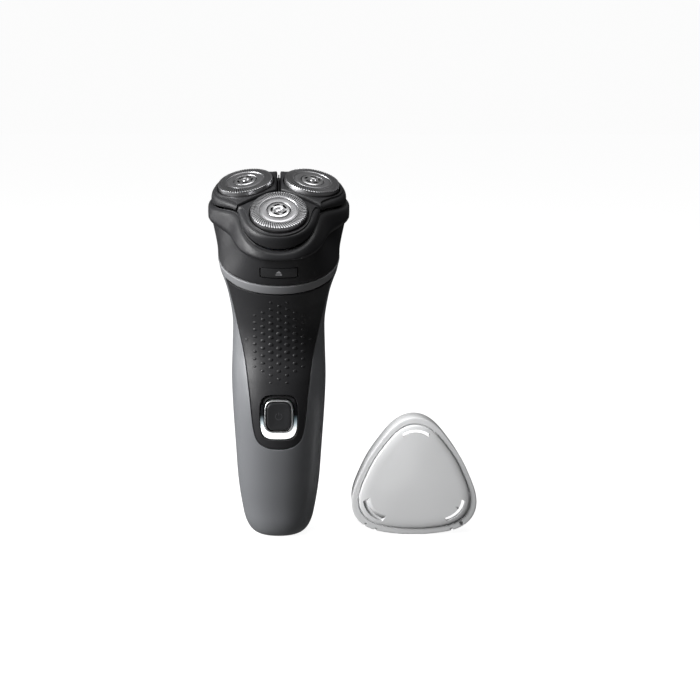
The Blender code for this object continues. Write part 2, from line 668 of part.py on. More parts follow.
def make_drive(white, steel, brass, blue):
    """A pinion on the motor's shaft turns three gears, each with the spindle that drives a cutter."""
    motor_axis = add_axis("motor_shaft_axis", HEAD)
    at_top = HEAD @ Matrix.Translation((0, 0, GEAR_TOP - 0.1))
    pinion_mesh = gear_mesh(PINION_TEETH, 0, GEAR_THICK - 0.2)
    pinion = add_object("motor_pinion", pinion_mesh, brass, at_top, motor_axis, 0)
    bore = cylinder(1.35, -9, 9, 12)
    cut(pinion, add_object("pinion_bore", bore, brass, at_top, motor_axis))
    shaft = turned([(0, -28.6), (1.0, -28.6), (1.0, -20.3), (0.8, -20.1), (0, -20.1)], 14)
    add_object("motor_shaft", shaft, steel, HEAD, motor_axis)

    for name, degrees in DISCS.items():
        frame = drive_frame(degrees)
        axis = add_axis(f"drive_{name}_axis", frame)
        way = around(degrees)
        line = math.atan2(way.y, way.x)
        offset = (line + math.pi / PINION_TEETH) % (math.tau / PINION_TEETH) - math.pi / PINION_TEETH
        phase = line + math.pi + offset * PINION_TEETH / GEAR_TEETH + math.pi / GEAR_TEETH
        at_top = frame @ Matrix.Translation((0, 0, GEAR_TOP))
        wheel = gear_mesh(GEAR_TEETH, phase, GEAR_THICK)
        gear = add_object(f"drive_gear_{name}", wheel, white, at_top, axis, 0)
        bore = cylinder(2.7, -9, 9, 16)
        cut(gear, add_object(f"drive_gear_bore_{name}", bore, white, at_top, axis))
        spindle = turned(
            [
                (0, -10.4), (1.15, -11.4), (1.15, -24.4), (2.4, -24.4), (2.4, -9.6),
                (1.7, -8.6), (1.3, -7.6), (1.3, -5.4), (0, -5.4),
            ],
            16,
        )
        add_object(f"drive_spindle_{name}", spindle, blue, frame, axis)
        axle = turned([(0, -24.6), (0.8, -24.6), (0.8, -12.2), (0.5, -11.9), (0, -11.9)], 12)
        add_object(f"gear_axle_{name}", axle, steel, frame)


def collar_plate(low, high):
    """A plate that fills the collar between two heights."""
    inset = COLLAR_WALL + GAP + 0.2
    return from_rings([collar_ring(low, inset), collar_ring(high, inset)])


def make_gear_box(grey, steel):
    """The deck closes the gear box, the mount carries the motor, and three screws hold the deck."""
    deck_bottom = DECK_TOP - DECK_THICK
    deck = add_object("drive_deck", collar_plate(deck_bottom, DECK_TOP), grey, HEAD)
    mount = add_object("motor_mount", collar_plate(MOUNT_TOP - MOUNT_THICK, MOUNT_TOP), grey, HEAD)
    notch = box((-8.1, -40, -30), (8.1, -25.6, -10))
    cut(deck, add_object("deck_notch", notch, grey, HEAD))
    for name, degrees in DISCS.items():
        hole = cylinder(2.9, -30, -10, 16)
        cut(deck, add_object(f"deck_hole_{name}", hole, grey, drive_frame(degrees)))
        between_gears = HEAD @ Matrix.Translation(around(degrees + 60) * POST_RADIUS)
        post = cylinder(2.0, MOUNT_TOP - 0.6, deck_bottom - GAP, 14)
        cut(mount, add_object(f"mount_post_{name}", post, grey, between_gears), "UNION")
        post_bore = cylinder(1.1, -24.0, -10, 12)
        cut(mount, add_object(f"post_bore_{name}", post_bore, grey, between_gears))
        clearance = cylinder(1.2, -22, -10, 12)
        cut(deck, add_object(f"deck_bore_{name}", clearance, grey, between_gears))
        seat = between_gears @ Matrix.Translation((0, 0, DECK_TOP + GAP))
        add_object(f"deck_screw_{name}", screw_mesh(0.8, 1.6, 5.0, 1.0), steel, seat)
    bore = cylinder(2.0, -30, -20, 16)
    cut(mount, add_object("mount_bore", bore, grey, HEAD))


def screw_mesh(shank, head, length, head_height):
    """A pan-head screw along Z with its head on top of z = 0 and a round driver recess."""
    return turned(
        [
            (0, -length), (shank * 0.4, -length), (shank, -length + 0.6), (shank, 0), (head, 0),
            (head, head_height * 0.6), (head * 0.75, head_height), (head * 0.4, head_height),
            (head * 0.4, head_height * 0.4), (0, head_height * 0.4),
        ],
        8,
    )


def motor_outline(half_width, half_depth, steps=12):
    """A round can with two flats."""
    reach = math.asin(half_depth / half_width)
    points = []
    for turn in (0, math.pi):
        for i in range(steps + 1):
            angle = turn - reach + 2 * reach * i / steps
            points.append((half_width * math.cos(angle), half_width * math.sin(angle)))
    return points


def make_motor(steel, black):
    can_mesh = prism(motor_outline(CAN_HALF_WIDTH, CAN_HALF_DEPTH), CAN_BOTTOM, CAN_TOP)
    can = add_object("motor_can", can_mesh, steel, HEAD)
    cut(can, add_object("can_bore", cylinder(1.4, -29.2, -20, 14), steel, HEAD))
    end_outline = motor_outline(CAN_HALF_WIDTH - 0.2, CAN_HALF_DEPTH - 0.2)
    end_cap = bevelled(prism(end_outline, CAN_BOTTOM - 1.9, CAN_BOTTOM - GAP), 0.3, 1)
    add_object("motor_end_cap", end_cap, black, HEAD)


def make_battery(wrap):
    top = BATTERY_LENGTH
    cell = turned(
        [
            (0, 0), (6.4, 0), (BATTERY_RADIUS, 0.5), (BATTERY_RADIUS, top - 0.8), (6.4, top),
            (2.6, top), (2.6, top + 1.2), (0, top + 1.2),
        ],
    )
    add_object("battery_cell", cell, wrap, Matrix.Translation((0, BATTERY_Y, BATTERY_Z)))


def make_chassis(plastic, steel):
    """The spine with a floor and a shelf that hold the battery, and its two screws."""
    spine = bevelled(box((-11.5, SPINE_FRONT, 19.5), (11.5, SPINE_REAR, 90.0)), 0.4, 1)
    chassis = add_object("chassis", spine, plastic)
    for name, depth, low, high in (("floor", 8.0, 20.0, 22.0), ("shelf", 10.5, 74.2, 75.8)):
        shelf = box((-9.0, SPINE_REAR - 0.6, low), (9.0, depth, high))
        cut(chassis, add_object(f"chassis_{name}", shelf, plastic), "UNION")
    for word, side in (("left", -1), ("right", 1)):
        hole = Matrix.Translation((side * CHASSIS_SCREW_X, -5, CHASSIS_SCREW_Z)) @ FRONT_VIEW
        bore = cylinder(1.1, -9, 9, 12)
        cut(chassis, add_object(f"chassis_bore_{word}", bore, plastic, hole))
        place = Matrix.Translation((side * CHASSIS_SCREW_X, SPINE_FRONT - GAP, CHASSIS_SCREW_Z)) @ FRONT_VIEW
        add_object(f"chassis_screw_{word}", screw_mesh(0.8, 1.6, 6.0, 1.0), steel, place)


def make_board(green, black):
    place = Matrix.Translation((0, BOARD_Y, BOARD_Z)) @ FRONT_VIEW
    add_object("circuit_board", prism(squircle(9.6, 29.0, 12.0), -0.8, 0.0), green, place)
    switch = turned([(0, 0.3), (3.0, 0.3), (3.0, 3.2), (1.7, 3.2), (1.7, 4.2), (0, 4.2)], 20)
    behind_button = Matrix.Translation((0, BOARD_Y, BUTTON_Z)) @ FRONT_VIEW
    add_object("tact_switch", switch, black, behind_button)


def make_socket(black, gold):
    block = box((-5.0, SOCKET_Y - 2.9, 0.0), (5.0, SOCKET_Y + 2.9, 13.0))
    socket = add_object("charging_socket", block, black)
    mouth = box((-4.3, SOCKET_Y - 2.3, -1.0), (4.3, SOCKET_Y + 2.3, 11.0))
    cut(socket, add_object("socket_mouth", mouth, black))
    for word, side in (("left", -1), ("right", 1)):
        pin = turned([(0, 5.4), (0.4, 5.4), (0.65, 5.8), (0.65, 10.7), (0, 10.7)], 12)
        add_object(f"socket_pin_{word}", pin, gold, Matrix.Translation((side * 2.1, SOCKET_Y, 0)))


# Cap


def cap_outline(half_width, steps=36):
    """A rounded triangle with bulging sides, its flat side down, centred on its box."""
    points = []
    for i in range(steps):
        angle = math.tau * i / steps
        turn = 3 * (angle - math.pi / 2)
        radius = 1 + 0.125 * math.cos(turn) + 0.019 * math.cos(2 * turn)
        points.append((radius * math.cos(angle), radius * math.sin(angle)))
    width = max(x for x, y in points)
    low = min(y for x, y in points)
    high = max(y for x, y in points)
    scale = half_width / width
    return [(x * scale, (max(y, low * 0.99) - (low + high) / 2) * scale) for x, y in points]


def make_cap(clear_grey):
    """A domed shell whose open side faces the rear as it stands."""
    half = CAP_WIDTH / 2
    back = [(0.5 * half, -0.4), (half - 5.2, -1.1), (half - 1.3, -3.0)]
    front = [
        (half - 1.3, -CAP_DEPTH), (half - 0.4, -CAP_DEPTH), (half, -CAP_DEPTH + 0.4), (half, -2.2),
        (half - 0.5, -1.7), (half - 2.2, -1.5), (half - 3.0, -0.9), (half - 5.0, 0.0), (0.5 * half, 0.7),
    ]
    rings = [ring_at(cap_outline(reach), height) for reach, height in back + front]
    cap = from_rings([[Vector((0, 0, -0.3))], *rings, [Vector((0, 0, 0.9))]])
    place = Matrix.Translation(CAP_CENTRE)
    axis = add_axis("protective_cap_axis", place)
    add_object("protective_cap", cap, clear_grey, place @ FRONT_VIEW, axis)


def main():
    for old in list(bpy.data.objects):
        bpy.data.objects.remove(old)

    grey = material("grey body", (0.11, 0.115, 0.125), 0.5)
    black = material("black plastic", (0.012, 0.012, 0.013), 0.45)
    band_grey = material("band grey", (0.16, 0.165, 0.175), 0.35)
    dark = material("button grey", (0.03, 0.032, 0.036), 0.4)
    silver = material("silver rim", (0.7, 0.71, 0.73), 0.2, 1.0)
    light = material("light guide", (0.85, 0.97, 1.0), 0.3)
    steel = material("shaver steel", (0.62, 0.62, 0.63), 0.25, 1.0)
    chrome = material("chrome", (0.85, 0.85, 0.86), 0.08, 1.0)
    white = material("gear plastic", (0.8, 0.8, 0.76), 0.4)
    blue = material("coupling plastic", (0.1, 0.2, 0.45), 0.4)
    brass = material("brass", (0.7, 0.5, 0.2), 0.3, 1.0)
    inner_grey = material("inner plastic", (0.2, 0.21, 0.22), 0.5)
    board = material("board green", (0.02, 0.16, 0.06), 0.5)
    wrap = material("battery wrap", (0.05, 0.25, 0.35), 0.35)
    clear_grey = material("cap grey", (0.6, 0.61, 0.63), 0.3)

    make_body(grey, black)
    make_power_button(black, dark, silver, light)
    make_collar(black, band_grey, steel)
    head = add_axis("head_hinge_axis", HINGE)
    make_bowl(black, head)
    make_retainer(black, band_grey, head)
    make_shavers(black, steel, chrome, blue, head)
    make_drive(white, steel, brass, blue)
    make_gear_box(inner_grey, steel)
    make_motor(steel, black)
    make_battery(wrap)
    make_chassis(inner_grey, steel)
    make_board(board, black)
    make_socket(black, brass)
    make_cap(clear_grey)


main()
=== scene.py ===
"""Looks of the rotary shaver: fine shells, steel guards, cap, finishes, floor, lights and camera.

Shapes are in millimetres and follow the frame's design with finer steps; piece() turns them into metres.
The head has its own frame: u is +X, v runs back along the head's plane, h is the height along its axis.
"""

import json
import math

import bmesh
import bpy
from mathutils import Matrix, Vector


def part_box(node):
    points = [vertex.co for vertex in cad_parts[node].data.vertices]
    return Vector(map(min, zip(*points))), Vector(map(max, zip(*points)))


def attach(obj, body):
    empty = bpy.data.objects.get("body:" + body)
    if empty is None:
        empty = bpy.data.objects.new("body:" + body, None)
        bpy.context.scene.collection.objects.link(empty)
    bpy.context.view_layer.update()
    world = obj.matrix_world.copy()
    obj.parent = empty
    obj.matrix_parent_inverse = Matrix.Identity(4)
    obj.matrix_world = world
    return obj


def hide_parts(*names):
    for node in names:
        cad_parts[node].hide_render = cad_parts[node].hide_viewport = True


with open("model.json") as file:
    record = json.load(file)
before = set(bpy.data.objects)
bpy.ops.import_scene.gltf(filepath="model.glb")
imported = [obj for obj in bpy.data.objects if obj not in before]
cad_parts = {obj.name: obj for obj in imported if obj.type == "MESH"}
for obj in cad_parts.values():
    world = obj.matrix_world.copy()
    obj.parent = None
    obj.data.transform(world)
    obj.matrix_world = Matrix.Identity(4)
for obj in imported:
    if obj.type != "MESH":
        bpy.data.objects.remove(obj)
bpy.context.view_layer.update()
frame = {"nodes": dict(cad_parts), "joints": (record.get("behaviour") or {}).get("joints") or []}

MM = 0.001
GAP = 0.3
WALL = 1.6
EDGE_ROUND = 0.25

# Head
DISCS = {"front": 0.0, "right": 120.0, "left": 240.0}
DISC_RADIUS = 16.0
DISC_LEAN = math.radians(10)
SEAM_MEAN, SEAM_LOBE, SEAM_TRIM = 25.3, 5.0, 0.6
SEAM_HEIGHT, SEAM_DIP, SEAM_GAP = -7.2, 2.8, 1.1
SIDE_GAP = 0.6
PETAL_TOP, PETAL_SIDE_BOTTOM = -2.0, -6.5
GUARD_RADIUS, GUARD_SKIRT = 11.4, 3.4
POCKET_RADIUS, POCKET_FLOOR, LEDGE_RADIUS, PETAL_UNDERSIDE = 11.9, -5.0, 10.3, -6.4
BOWL_BOTTOM = -14.0
BOWL_FLARE_REAR, BOWL_FLARE_FRONT = 0.6, 1.5
HINGE_V, HINGE_H = 24.6, -15.2
KNUCKLE_RADIUS, KNUCKLE_END_RADIUS, KNUCKLE_CHAMFER = 1.9, 1.6, 0.3
BOWL_KNUCKLE_HALF, COLLAR_KNUCKLE_NEAR, COLLAR_KNUCKLE_FAR = 4.2, 4.6, 8.4
PIN_BORE, KNUCKLE_RELIEF, ROD_STEPS = 1.1, 2.3, 32
RELEASE_HALF_WIDTH, RELEASE_HALF_HEIGHT, RELEASE_FRONT, RELEASE_HEIGHT = 7.3, 2.2, 29.6, -21.2
RING_CENTRE = -5.0
COLLAR_TOP, COLLAR_BOTTOM, COLLAR_WALL = -14.3, -27.4, 1.4
COLLAR_MARGIN, COLLAR_FILL = 0.9, 1.7
BAND_TOP, BAND_BOTTOM = -27.7, -31.5

# Body sections: front y and z, rear y and z, half-width
SECTIONS = [
    (-12.2, 0.0, 13.4, 0.0, 13.0),
    (-13.6, 12.0, 14.2, 12.0, 15.5),
    (-15.5, 24.0, 15.4, 24.0, 17.2),
    (-17.4, 40.0, 16.5, 40.0, 18.3),
    (-18.4, 56.0, 17.3, 56.0, 19.3),
    (-16.8, 68.0, 17.4, 70.0, 19.75),
    (-13.8, 79.0, 17.3, 84.0, 19.4),
    (-13.6, 88.0, 17.9, 98.0, 19.3),
    (-16.3, 96.5, 19.8, 110.0, 20.8),
    (-18.3, 101.0, 22.0, 118.5, 22.4),
    (-20.16, 105.13, 24.7, 126.05, 24.45),
]
LAST = len(SECTIONS) - 1
BASE_ROUND, BASE_INSET = 9.0, 5.5
FRONT_POWER, REAR_POWER_BASE, REAR_POWER_TOP = 2.15, 2.3, 3.2

# Front cover's edge, right half, as x and z
COVER_EDGE = [
    (0, 40.4), (4.7, 41.0), (8.7, 43.5), (10.6, 49.5), (12.0, 62.4),
    (13.9, 77.0), (16.9, 90.3), (20.2, 105.0), (24.0, 120.0),
]
DOTS_Z, DOTS_HALF_WIDTH, DOTS_HALF_HEIGHT = 85.3, 13.4, 17.4
DOT_COLUMN, DOT_ROW, DOT_WIDTH, DOT_TALL, DOT_RAISED = 3.3, 3.05, 2.2, 1.7, 0.4
BUTTON_Z = 54.5
WINDOW_Z, WINDOW_WIDTH, WINDOW_HEIGHT = 54.0, 7.9, 9.6
SOCKET_Y = 4.2
CAP_HALF, CAP_DEPTH = 26.5, 13.0


# Meshes


def mesh_of(rows, wrap_rows=False, wrap_columns=False, hole=None):
    """Quads through rows of points. A row of equal points closes to a pole; hole(i, j) leaves a face out."""
    mesh = bmesh.new()
    made = [[mesh.verts.new(point) for point in row] for row in rows]
    for i in range(len(made) if wrap_rows else len(made) - 1):
        low, high = made[i], made[(i + 1) % len(made)]
        for j in range(len(low) if wrap_columns else len(low) - 1):
            k = (j + 1) % len(low)
            if not (hole and hole(i, j)):
                mesh.faces.new((low[j], low[k], high[k], high[j]))
    bmesh.ops.delete(mesh, geom=[v for v in mesh.verts if not v.link_faces], context="VERTS")
    bmesh.ops.remove_doubles(mesh, verts=mesh.verts, dist=1e-4)
    return mesh


def turned(profile, steps=96, wrap=False):
    """A shape turned about Z from (radius, height) points; the ends of an open profile lie on the axis."""
    rows = []
    for radius, height in profile:
        turns = [math.tau * i / steps for i in range(steps)]
        rows.append([Vector((radius * math.cos(a), radius * math.sin(a), height)) for a in turns])
    return mesh_of(rows, wrap_rows=wrap, wrap_columns=True)


def ring_at(outline, height):
    return [Vector((x, y, height)) for x, y in outline]


def lofted(outline, profile):
    """A closed shape: a ring outline(inset) at each (inset, height) of the profile, and flat ends."""
    return capped(mesh_of([ring_at(outline(inset), height) for inset, height in profile], wrap_columns=True))


def prism(outline, low, high):
    """An outline in x and y, drawn out from one height to another."""
    return capped(mesh_of([ring_at(outline, height) for height in (low, high)], wrap_columns=True))


def rod(radius, start, end):
    return turned([(0, start), (radius, start), (radius, end), (0, end)], ROD_STEPS)


def capped(mesh):
    """The mesh with a flat face over each of its open loops."""
    for edges in open_loops(mesh):
        bmesh.ops.contextual_create(mesh, geom=edges)
    return mesh


def open_loops(mesh):
    """The open edges of a mesh, one list for each loop."""
    left = {edge for edge in mesh.edges if edge.is_boundary}
    loops = []
    while left:
        loop, ends = [], [left.pop()]
        while ends:
            edge = ends.pop()
            loop.append(edge)
            near = {other for vert in edge.verts for other in vert.link_edges} & left
            left -= near
            ends += near
        loops.append(loop)
    return loops


def box(low, high):
    mesh = bmesh.new()
    bmesh.ops.create_cube(mesh, size=1)
    bmesh.ops.scale(mesh, vec=[b - a for a, b in zip(low, high)], verts=mesh.verts)
    bmesh.ops.translate(mesh, vec=[(a + b) / 2 for a, b in zip(low, high)], verts=mesh.verts)
    return mesh


def bevelled(mesh, width, segments=3):
    bmesh.ops.recalc_face_normals(mesh, faces=mesh.faces)
    edges = [edge for edge in mesh.edges if edge.calc_face_angle(0) > math.radians(40)]
    bmesh.ops.bevel(mesh, geom=edges, offset=width, segments=segments, profile=0.5, affect="EDGES")
    return mesh


def rounded(radius, steps=5):
    """A quarter round as (distance along, drop): from the edge, full drop, to this far in, no drop."""
    turns = [math.pi / 2 * i / steps for i in range(steps + 1)]
    return [(radius * (1 - math.cos(a)), radius * (1 - math.sin(a))) for a in turns]


def power(value, exponent):
    return math.copysign(abs(value) ** exponent, value)


def squircle(half_width, half_height, exponent=4.0, steps=96):
    """A rounded square, as x and y, with its points spread evenly by angle."""
    points = []
    for i in range(steps):
        angle = math.tau * i / steps
        across = abs(math.cos(angle)) / half_width
        along = abs(math.sin(angle)) / half_height
        reach = (across**exponent + along**exponent) ** (-1 / exponent)
        points.append((reach * math.cos(angle), reach * math.sin(angle)))
    return points


def between(a, b, c, d, t):
    """The Catmull-Rom point between b and c."""
    weights = (
        (-t + 2 * t**2 - t**3) / 2,
        (2 - 5 * t**2 + 3 * t**3) / 2,
        (t + 4 * t**2 - 3 * t**3) / 2,
        (-(t**2) + t**3) / 2,
    )
    return tuple(sum(w * p[i] for w, p in zip(weights, (a, b, c, d))) for i in range(len(b)))


def curve_at(points, t):
    """The point at t on a smooth curve that passes points[k] at t = k."""
    i = max(0, min(int(t), len(points) - 2))
    row = [points[max(0, min(k, len(points) - 1))] for k in (i - 1, i, i + 1, i + 2)]
    return between(*row, t - i)


def evenly(points, spacing):
    """Points along a polyline at about this spacing, its ends kept."""
    lengths = [0.0]
    for a, b in zip(points, points[1:]):
        lengths.append(lengths[-1] + math.dist(a, b))
    count = max(2, round(lengths[-1] / spacing))
    made, k = [], 0
    for i in range(count + 1):
        want = lengths[-1] * i / count
        while k < len(points) - 2 and lengths[k + 1] < want:
            k += 1
        share = (want - lengths[k]) / (lengths[k + 1] - lengths[k])
        made.append(tuple(p + (q - p) * share for p, q in zip(points[k], points[k + 1])))
    return made


def piece(name, mesh, finish, body, place=None, stands_for=(), smooth=35, thick=0.0, steps=()):
    """An object from a bmesh in millimetres, in place's coordinates, riding on a body.

    thick gives an open sheet a wall on its back; steps are booleans, as (operation, cutter), done after it.
    Only a finish that runs round its own axis keeps place as the object's matrix.
    """
    made = new_object(name, mesh, place)
    made.data.materials.append(finish)
    if thick:
        wall = made.modifiers.new("wall", "SOLIDIFY")
        wall.thickness = thick * MM
        wall.offset = -1
    helpers = []
    for number, (operation, cutter) in enumerate(steps):
        helper = new_object(f"{name}_helper_{number}", *cutter)
        helpers.append(helper)
        step = made.modifiers.new(helper.name, "BOOLEAN")
        step.operation, step.solver, step.object = operation, "EXACT", helper
    if thick or steps:
        graph = bpy.context.evaluated_depsgraph_get()
        data = bpy.data.meshes.new_from_object(made.evaluated_get(graph))
        made.modifiers.clear()
        made.data = data
    for helper in helpers:
        bpy.data.objects.remove(helper)
    made.data.shade_smooth()
    made.data.set_sharp_from_angle(angle=math.radians(smooth))
    if not finish.get("own_axis"):
        made.data.transform(made.matrix_world)
        made.matrix_world = Matrix()
    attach(made, body)
    if stands_for:
        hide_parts(*stands_for)
    return made


def new_object(name, mesh, place=None):
    if not any(edge.is_boundary for edge in mesh.edges):
        bmesh.ops.recalc_face_normals(mesh, faces=mesh.faces)
    bmesh.ops.scale(mesh, vec=(MM, MM, MM), verts=mesh.verts)
    data = bpy.data.meshes.new(name)
    mesh.to_mesh(data)
    mesh.free()
    made = bpy.data.objects.new(name, data)
    bpy.context.scene.collection.objects.link(made)
    placed = (place or Matrix()).copy()
    placed.translation *= MM
    made.matrix_world = placed
    bpy.context.view_layer.update()
    return made


# Frames


def frame_of(origin, x, y):
    placed = Matrix((x, y, x.cross(y))).transposed().to_4x4()
    placed.translation = origin
    return placed


JOINTS = {joint["name"]: joint for joint in frame["joints"]}


def joint_axis(name):
    return Vector(JOINTS[name]["axis"]).normalized()


def joint_point(name):
    return Vector(JOINTS[name]["pos_m"]) / MM


SIDE = Vector((1, 0, 0))
HEAD_CENTRE = sum((joint_point(f"cutter_{name}_spin") for name in DISCS), Vector()) / len(DISCS)
HEAD = frame_of(HEAD_CENTRE, SIDE, joint_axis("motor_spin").cross(SIDE))
HINGE = HEAD @ Matrix.Translation((0, HINGE_V, HINGE_H)) @ Matrix.Rotation(math.pi / 2, 4, "Y")
FRONT_VIEW = frame_of(Vector(), SIDE, Vector((0, 0, 1)))  # x right, y up, z towards the front


def around(degrees):
    """Outward direction in the head's plane: 0 is the front, 90 the shaver's +X side."""
    angle = math.radians(degrees)
    return Vector((math.sin(angle), -math.cos(angle), 0))


def disc_frame(name):
    """A shaver disc's frame: x is tangential, y is inward, z is the disc's own axis."""
    spin = f"cutter_{name}_spin"
    across = joint_axis(f"holder_{name}_tilt")
    return frame_of(joint_point(spin), across, joint_axis(spin).cross(across))


# Body


def section(t):
    """Body section t: the middle and half of its front-to-rear line, and its half-width."""
    front_y, front_z, rear_y, rear_z, half_width = curve_at(SECTIONS, t)
    front = Vector((0, front_y, front_z))
    rear = Vector((0, rear_y, rear_z))
    return (front + rear) / 2, (rear - front) / 2, half_width


def body_point(t, angle, inset=0.0):
    """A point of the body: t is -1 in the middle of the base, 0 at the base's edge and LAST at the top."""
    share = 1.0
    round_top = BASE_ROUND / SECTIONS[1][1]
    if t < 0:
        share, t = 1 + t, 0.0
    if t < round_top:
        turn = math.pi / 2 * t / round_top
        t = round_top * (1 - math.cos(turn))
        inset += BASE_INSET * (1 - math.sin(turn))
    centre, depth, half_width = section(t)
    rear_power = REAR_POWER_BASE + (REAR_POWER_TOP - REAR_POWER_BASE) * (t / LAST) ** 2
    exponent = 2 / (FRONT_POWER if math.sin(angle) < 0 else rear_power)
    x = (half_width - inset) * power(math.cos(angle), exponent)
    along = depth * (1 - inset / depth.length) * power(math.sin(angle), exponent)
    return centre + (along + Vector((x, 0, 0))) * share


def front_place(x, z):
    """The section and the angle at which the body's front passes x and z."""
    low, high = 0.0, float(LAST)
    for _ in range(30):
        t = (low + high) / 2
        centre, depth, half_width = section(t)
        across = min(1.0, abs(x) / half_width)
        height = centre.z - depth.z * (1 - across**FRONT_POWER) ** (1 / FRONT_POWER)
        low, high = (t, high) if height < z else (low, t)
    angle = -math.acos(power(across, FRONT_POWER / 2))
    return t, (angle if x >= 0 else -math.pi - angle)


def front_point(x, z, raised=0.0):
    """The point of the body's front at x and z, pushed out along the surface's normal."""
    t, angle = front_place(x, z)
    point = body_point(t, angle)
    if raised:
        point += surface_normal(t, angle) * raised
    return point


def surface_normal(t, angle):
    step = 0.01
    along = body_point(min(t + step, LAST), angle) - body_point(min(t + step, LAST) - 2 * step, angle)
    angle = min(max(angle, -math.pi + 0.02), -0.02) if angle < 0 else angle
    across = body_point(t, angle + step) - body_point(t, angle - step)
    return across.cross(along).normalized()


def edge_half(spread, spacing):
    """The cover's edge on the right, this much wider, as x and z from the bottom middle to the top ring."""
    fine = [curve_at(COVER_EDGE, k / 24) for k in range(24 * (len(COVER_EDGE) - 1) + 1)]
    grown = []
    for k, (x, z) in enumerate(fine):
        ahead, behind = fine[min(k + 1, len(fine) - 1)], fine[max(k - 1, 0)]
        way = Vector((ahead[0] - behind[0], ahead[1] - behind[1])).normalized()
        grown.append((max(0.0, x + way.y * spread) if k else 0.0, z - way.x * spread))
    inside = [point for point in grown if front_place(*point)[0] < LAST - 0.002]
    return evenly(inside, spacing)


def blended(near, far, shares, value):
    """Points between two places on the surface, with each share's own drop below it."""
    row = []
    for share, drop in shares:
        t, angle = (a + (b - a) * share for a, b in zip(near, far))
        row.append(value(t, angle, drop))
    return row


def lowered(t, angle, drop):
    point = body_point(t, angle)
    if drop:
        point -= surface_normal(t, angle) * drop
    return point


def graded(length, radius, count, both=False):
    """Shares along a line of this length: a quarter round at its start, and at its end too if both."""
    start = [(distance / length, drop) for distance, drop in rounded(radius)]
    first = start[-1][0]
    last = 1 - first if both else 1.0
    middle = [(first + (last - first) * k / count, 0.0) for k in range(1, count)]
    end = [(1 - share, drop) for share, drop in reversed(start)] if both else [(1.0, 0.0)]
    return start + middle + end


def rear_rows():
    """Lines from the cover's edge round the sides to the rear, and from its bottom under the base."""
    half = edge_half(GAP / 2, 0.6)
    corner = min(k for k, (_, z) in enumerate(half) if z > 50)
    places = []
    for k, (x, z) in enumerate(half):
        if k <= corner:
            far = (-1.0, -math.pi / 2 + math.pi * k / corner)
        else:
            far = (-1.0 + (LAST + 1.0) * ((k - corner) / (len(half) - 1 - corner)), math.pi / 2)
        t, angle = front_place(x, z)
        places.append(((t, angle), far))
    places[-1] = ((float(LAST), places[-1][0][1]), (float(LAST), math.pi / 2))
    rows = []
    for near, far in places:
        middle = body_point((near[0] + far[0]) / 2, (near[1] + far[1]) / 2)
        length = (body_point(*near) - middle).length + (middle - body_point(*far)).length
        rows.append(blended(near, far, graded(length, EDGE_ROUND, 64), lowered))
    mirrored = [[Vector((-point.x, point.y, point.z)) for point in row] for row in reversed(rows[1:])]
    return mirrored + rows


def make_rear(finish):
    mesh = mesh_of(rear_rows())
    hole = box((-5.3, SOCKET_Y - 3.2, -2), (5.3, SOCKET_Y + 3.2, 6))
    return piece(
        "rear_shell", mesh, finish, "housing", stands_for=["rear_housing"], thick=WALL,
        steps=[("DIFFERENCE", (hole,))],
    )


def window_reach(angle):
    across, along = abs(math.cos(angle)) / WINDOW_WIDTH, abs(math.sin(angle)) / WINDOW_HEIGHT
    return (across**4 + along**4) ** -0.25


def cover_point(t, x, drop):
    """A point of the cover from its section and its distance across, which stay smooth over the middle."""
    half_width = section(t)[2]
    angle = -math.acos(power(min(1.0, abs(x) / half_width), FRONT_POWER / 2))
    angle = angle if x >= 0 else -math.pi - angle
    return lowered(t, angle, drop)


def cover_rows():
    """Lines from the button's window out to the cover's edge."""
    half = edge_half(-GAP / 2, 0.6)
    side = [(front_place(x, z)[0], x) for x, z in half[:-1]] + [(float(LAST), half[-1][0])]
    top = [(float(LAST), side[-1][1] * (1 - 2 * k / 64)) for k in range(1, 64)]
    rows = []
    for far in side + top + [(t, -x) for t, x in reversed(side[1:])]:
        point = cover_point(*far, 0.0)
        angle = math.atan2(point.z - WINDOW_Z, point.x)
        reach = window_reach(angle)
        near_x = reach * math.cos(angle)
        near = (front_place(near_x, WINDOW_Z + reach * math.sin(angle))[0], near_x)
        length = (cover_point(*near, 0.0) - point).length
        rows.append(blended(near, far, graded(length, EDGE_ROUND, 44, both=True), cover_point))
    return rows


def make_cover(finish):
    mesh = mesh_of(cover_rows(), wrap_rows=True)
    return piece("cover_shell", mesh, finish, "housing", stands_for=["front_cover"], thick=WALL)


def grip_dots():
    """Raised dots over the grip, smaller towards the outside; neighbouring columns are half a step apart."""
    mesh = bmesh.new()
    for column in range(-4, 5):
        x = column * DOT_COLUMN
        for row in range(-6, 7):
            z = DOTS_Z + (row + (0.5 if column % 2 else 0.0)) * DOT_ROW
            spread = (x / DOTS_HALF_WIDTH) ** 2 + ((z - DOTS_Z) / DOTS_HALF_HEIGHT) ** 2
            if spread > 1:
                continue
            size = 1.0 - 0.45 * spread
            add_dot(mesh, x, z, DOT_WIDTH * size, DOT_TALL * size, DOT_RAISED * size)
    return mesh


def add_dot(mesh, x, z, width, tall, raised, steps=20, rings=5):
    """A low dome that follows the surface, its rim just under it."""
    rows = []
    for k in range(rings + 1):
        turn = math.pi / 2 * k / rings
        height = raised * math.sin(turn) * 1.25 - raised * 0.25
        row = []
        for i in range(steps):
            angle = math.tau * i / steps
            reach = math.cos(turn) / 2
            across, along = width * reach * math.cos(angle), tall * reach * math.sin(angle)
            row.append(front_point(x + across, z + along, height))
        rows.append(row)
    made = [[mesh.verts.new(point) for point in row] for row in rows[:-1]]
    peak = mesh.verts.new(rows[-1][0])
    for low, high in zip(made, made[1:]):
        for i in range(steps):
            j = (i + 1) % steps
            mesh.faces.new((low[i], low[j], high[j], high[i]))
    for i in range(steps):
        mesh.faces.new((made[-1][i], made[-1][(i + 1) % steps], peak))
    mesh.faces.new(made[0][::-1])


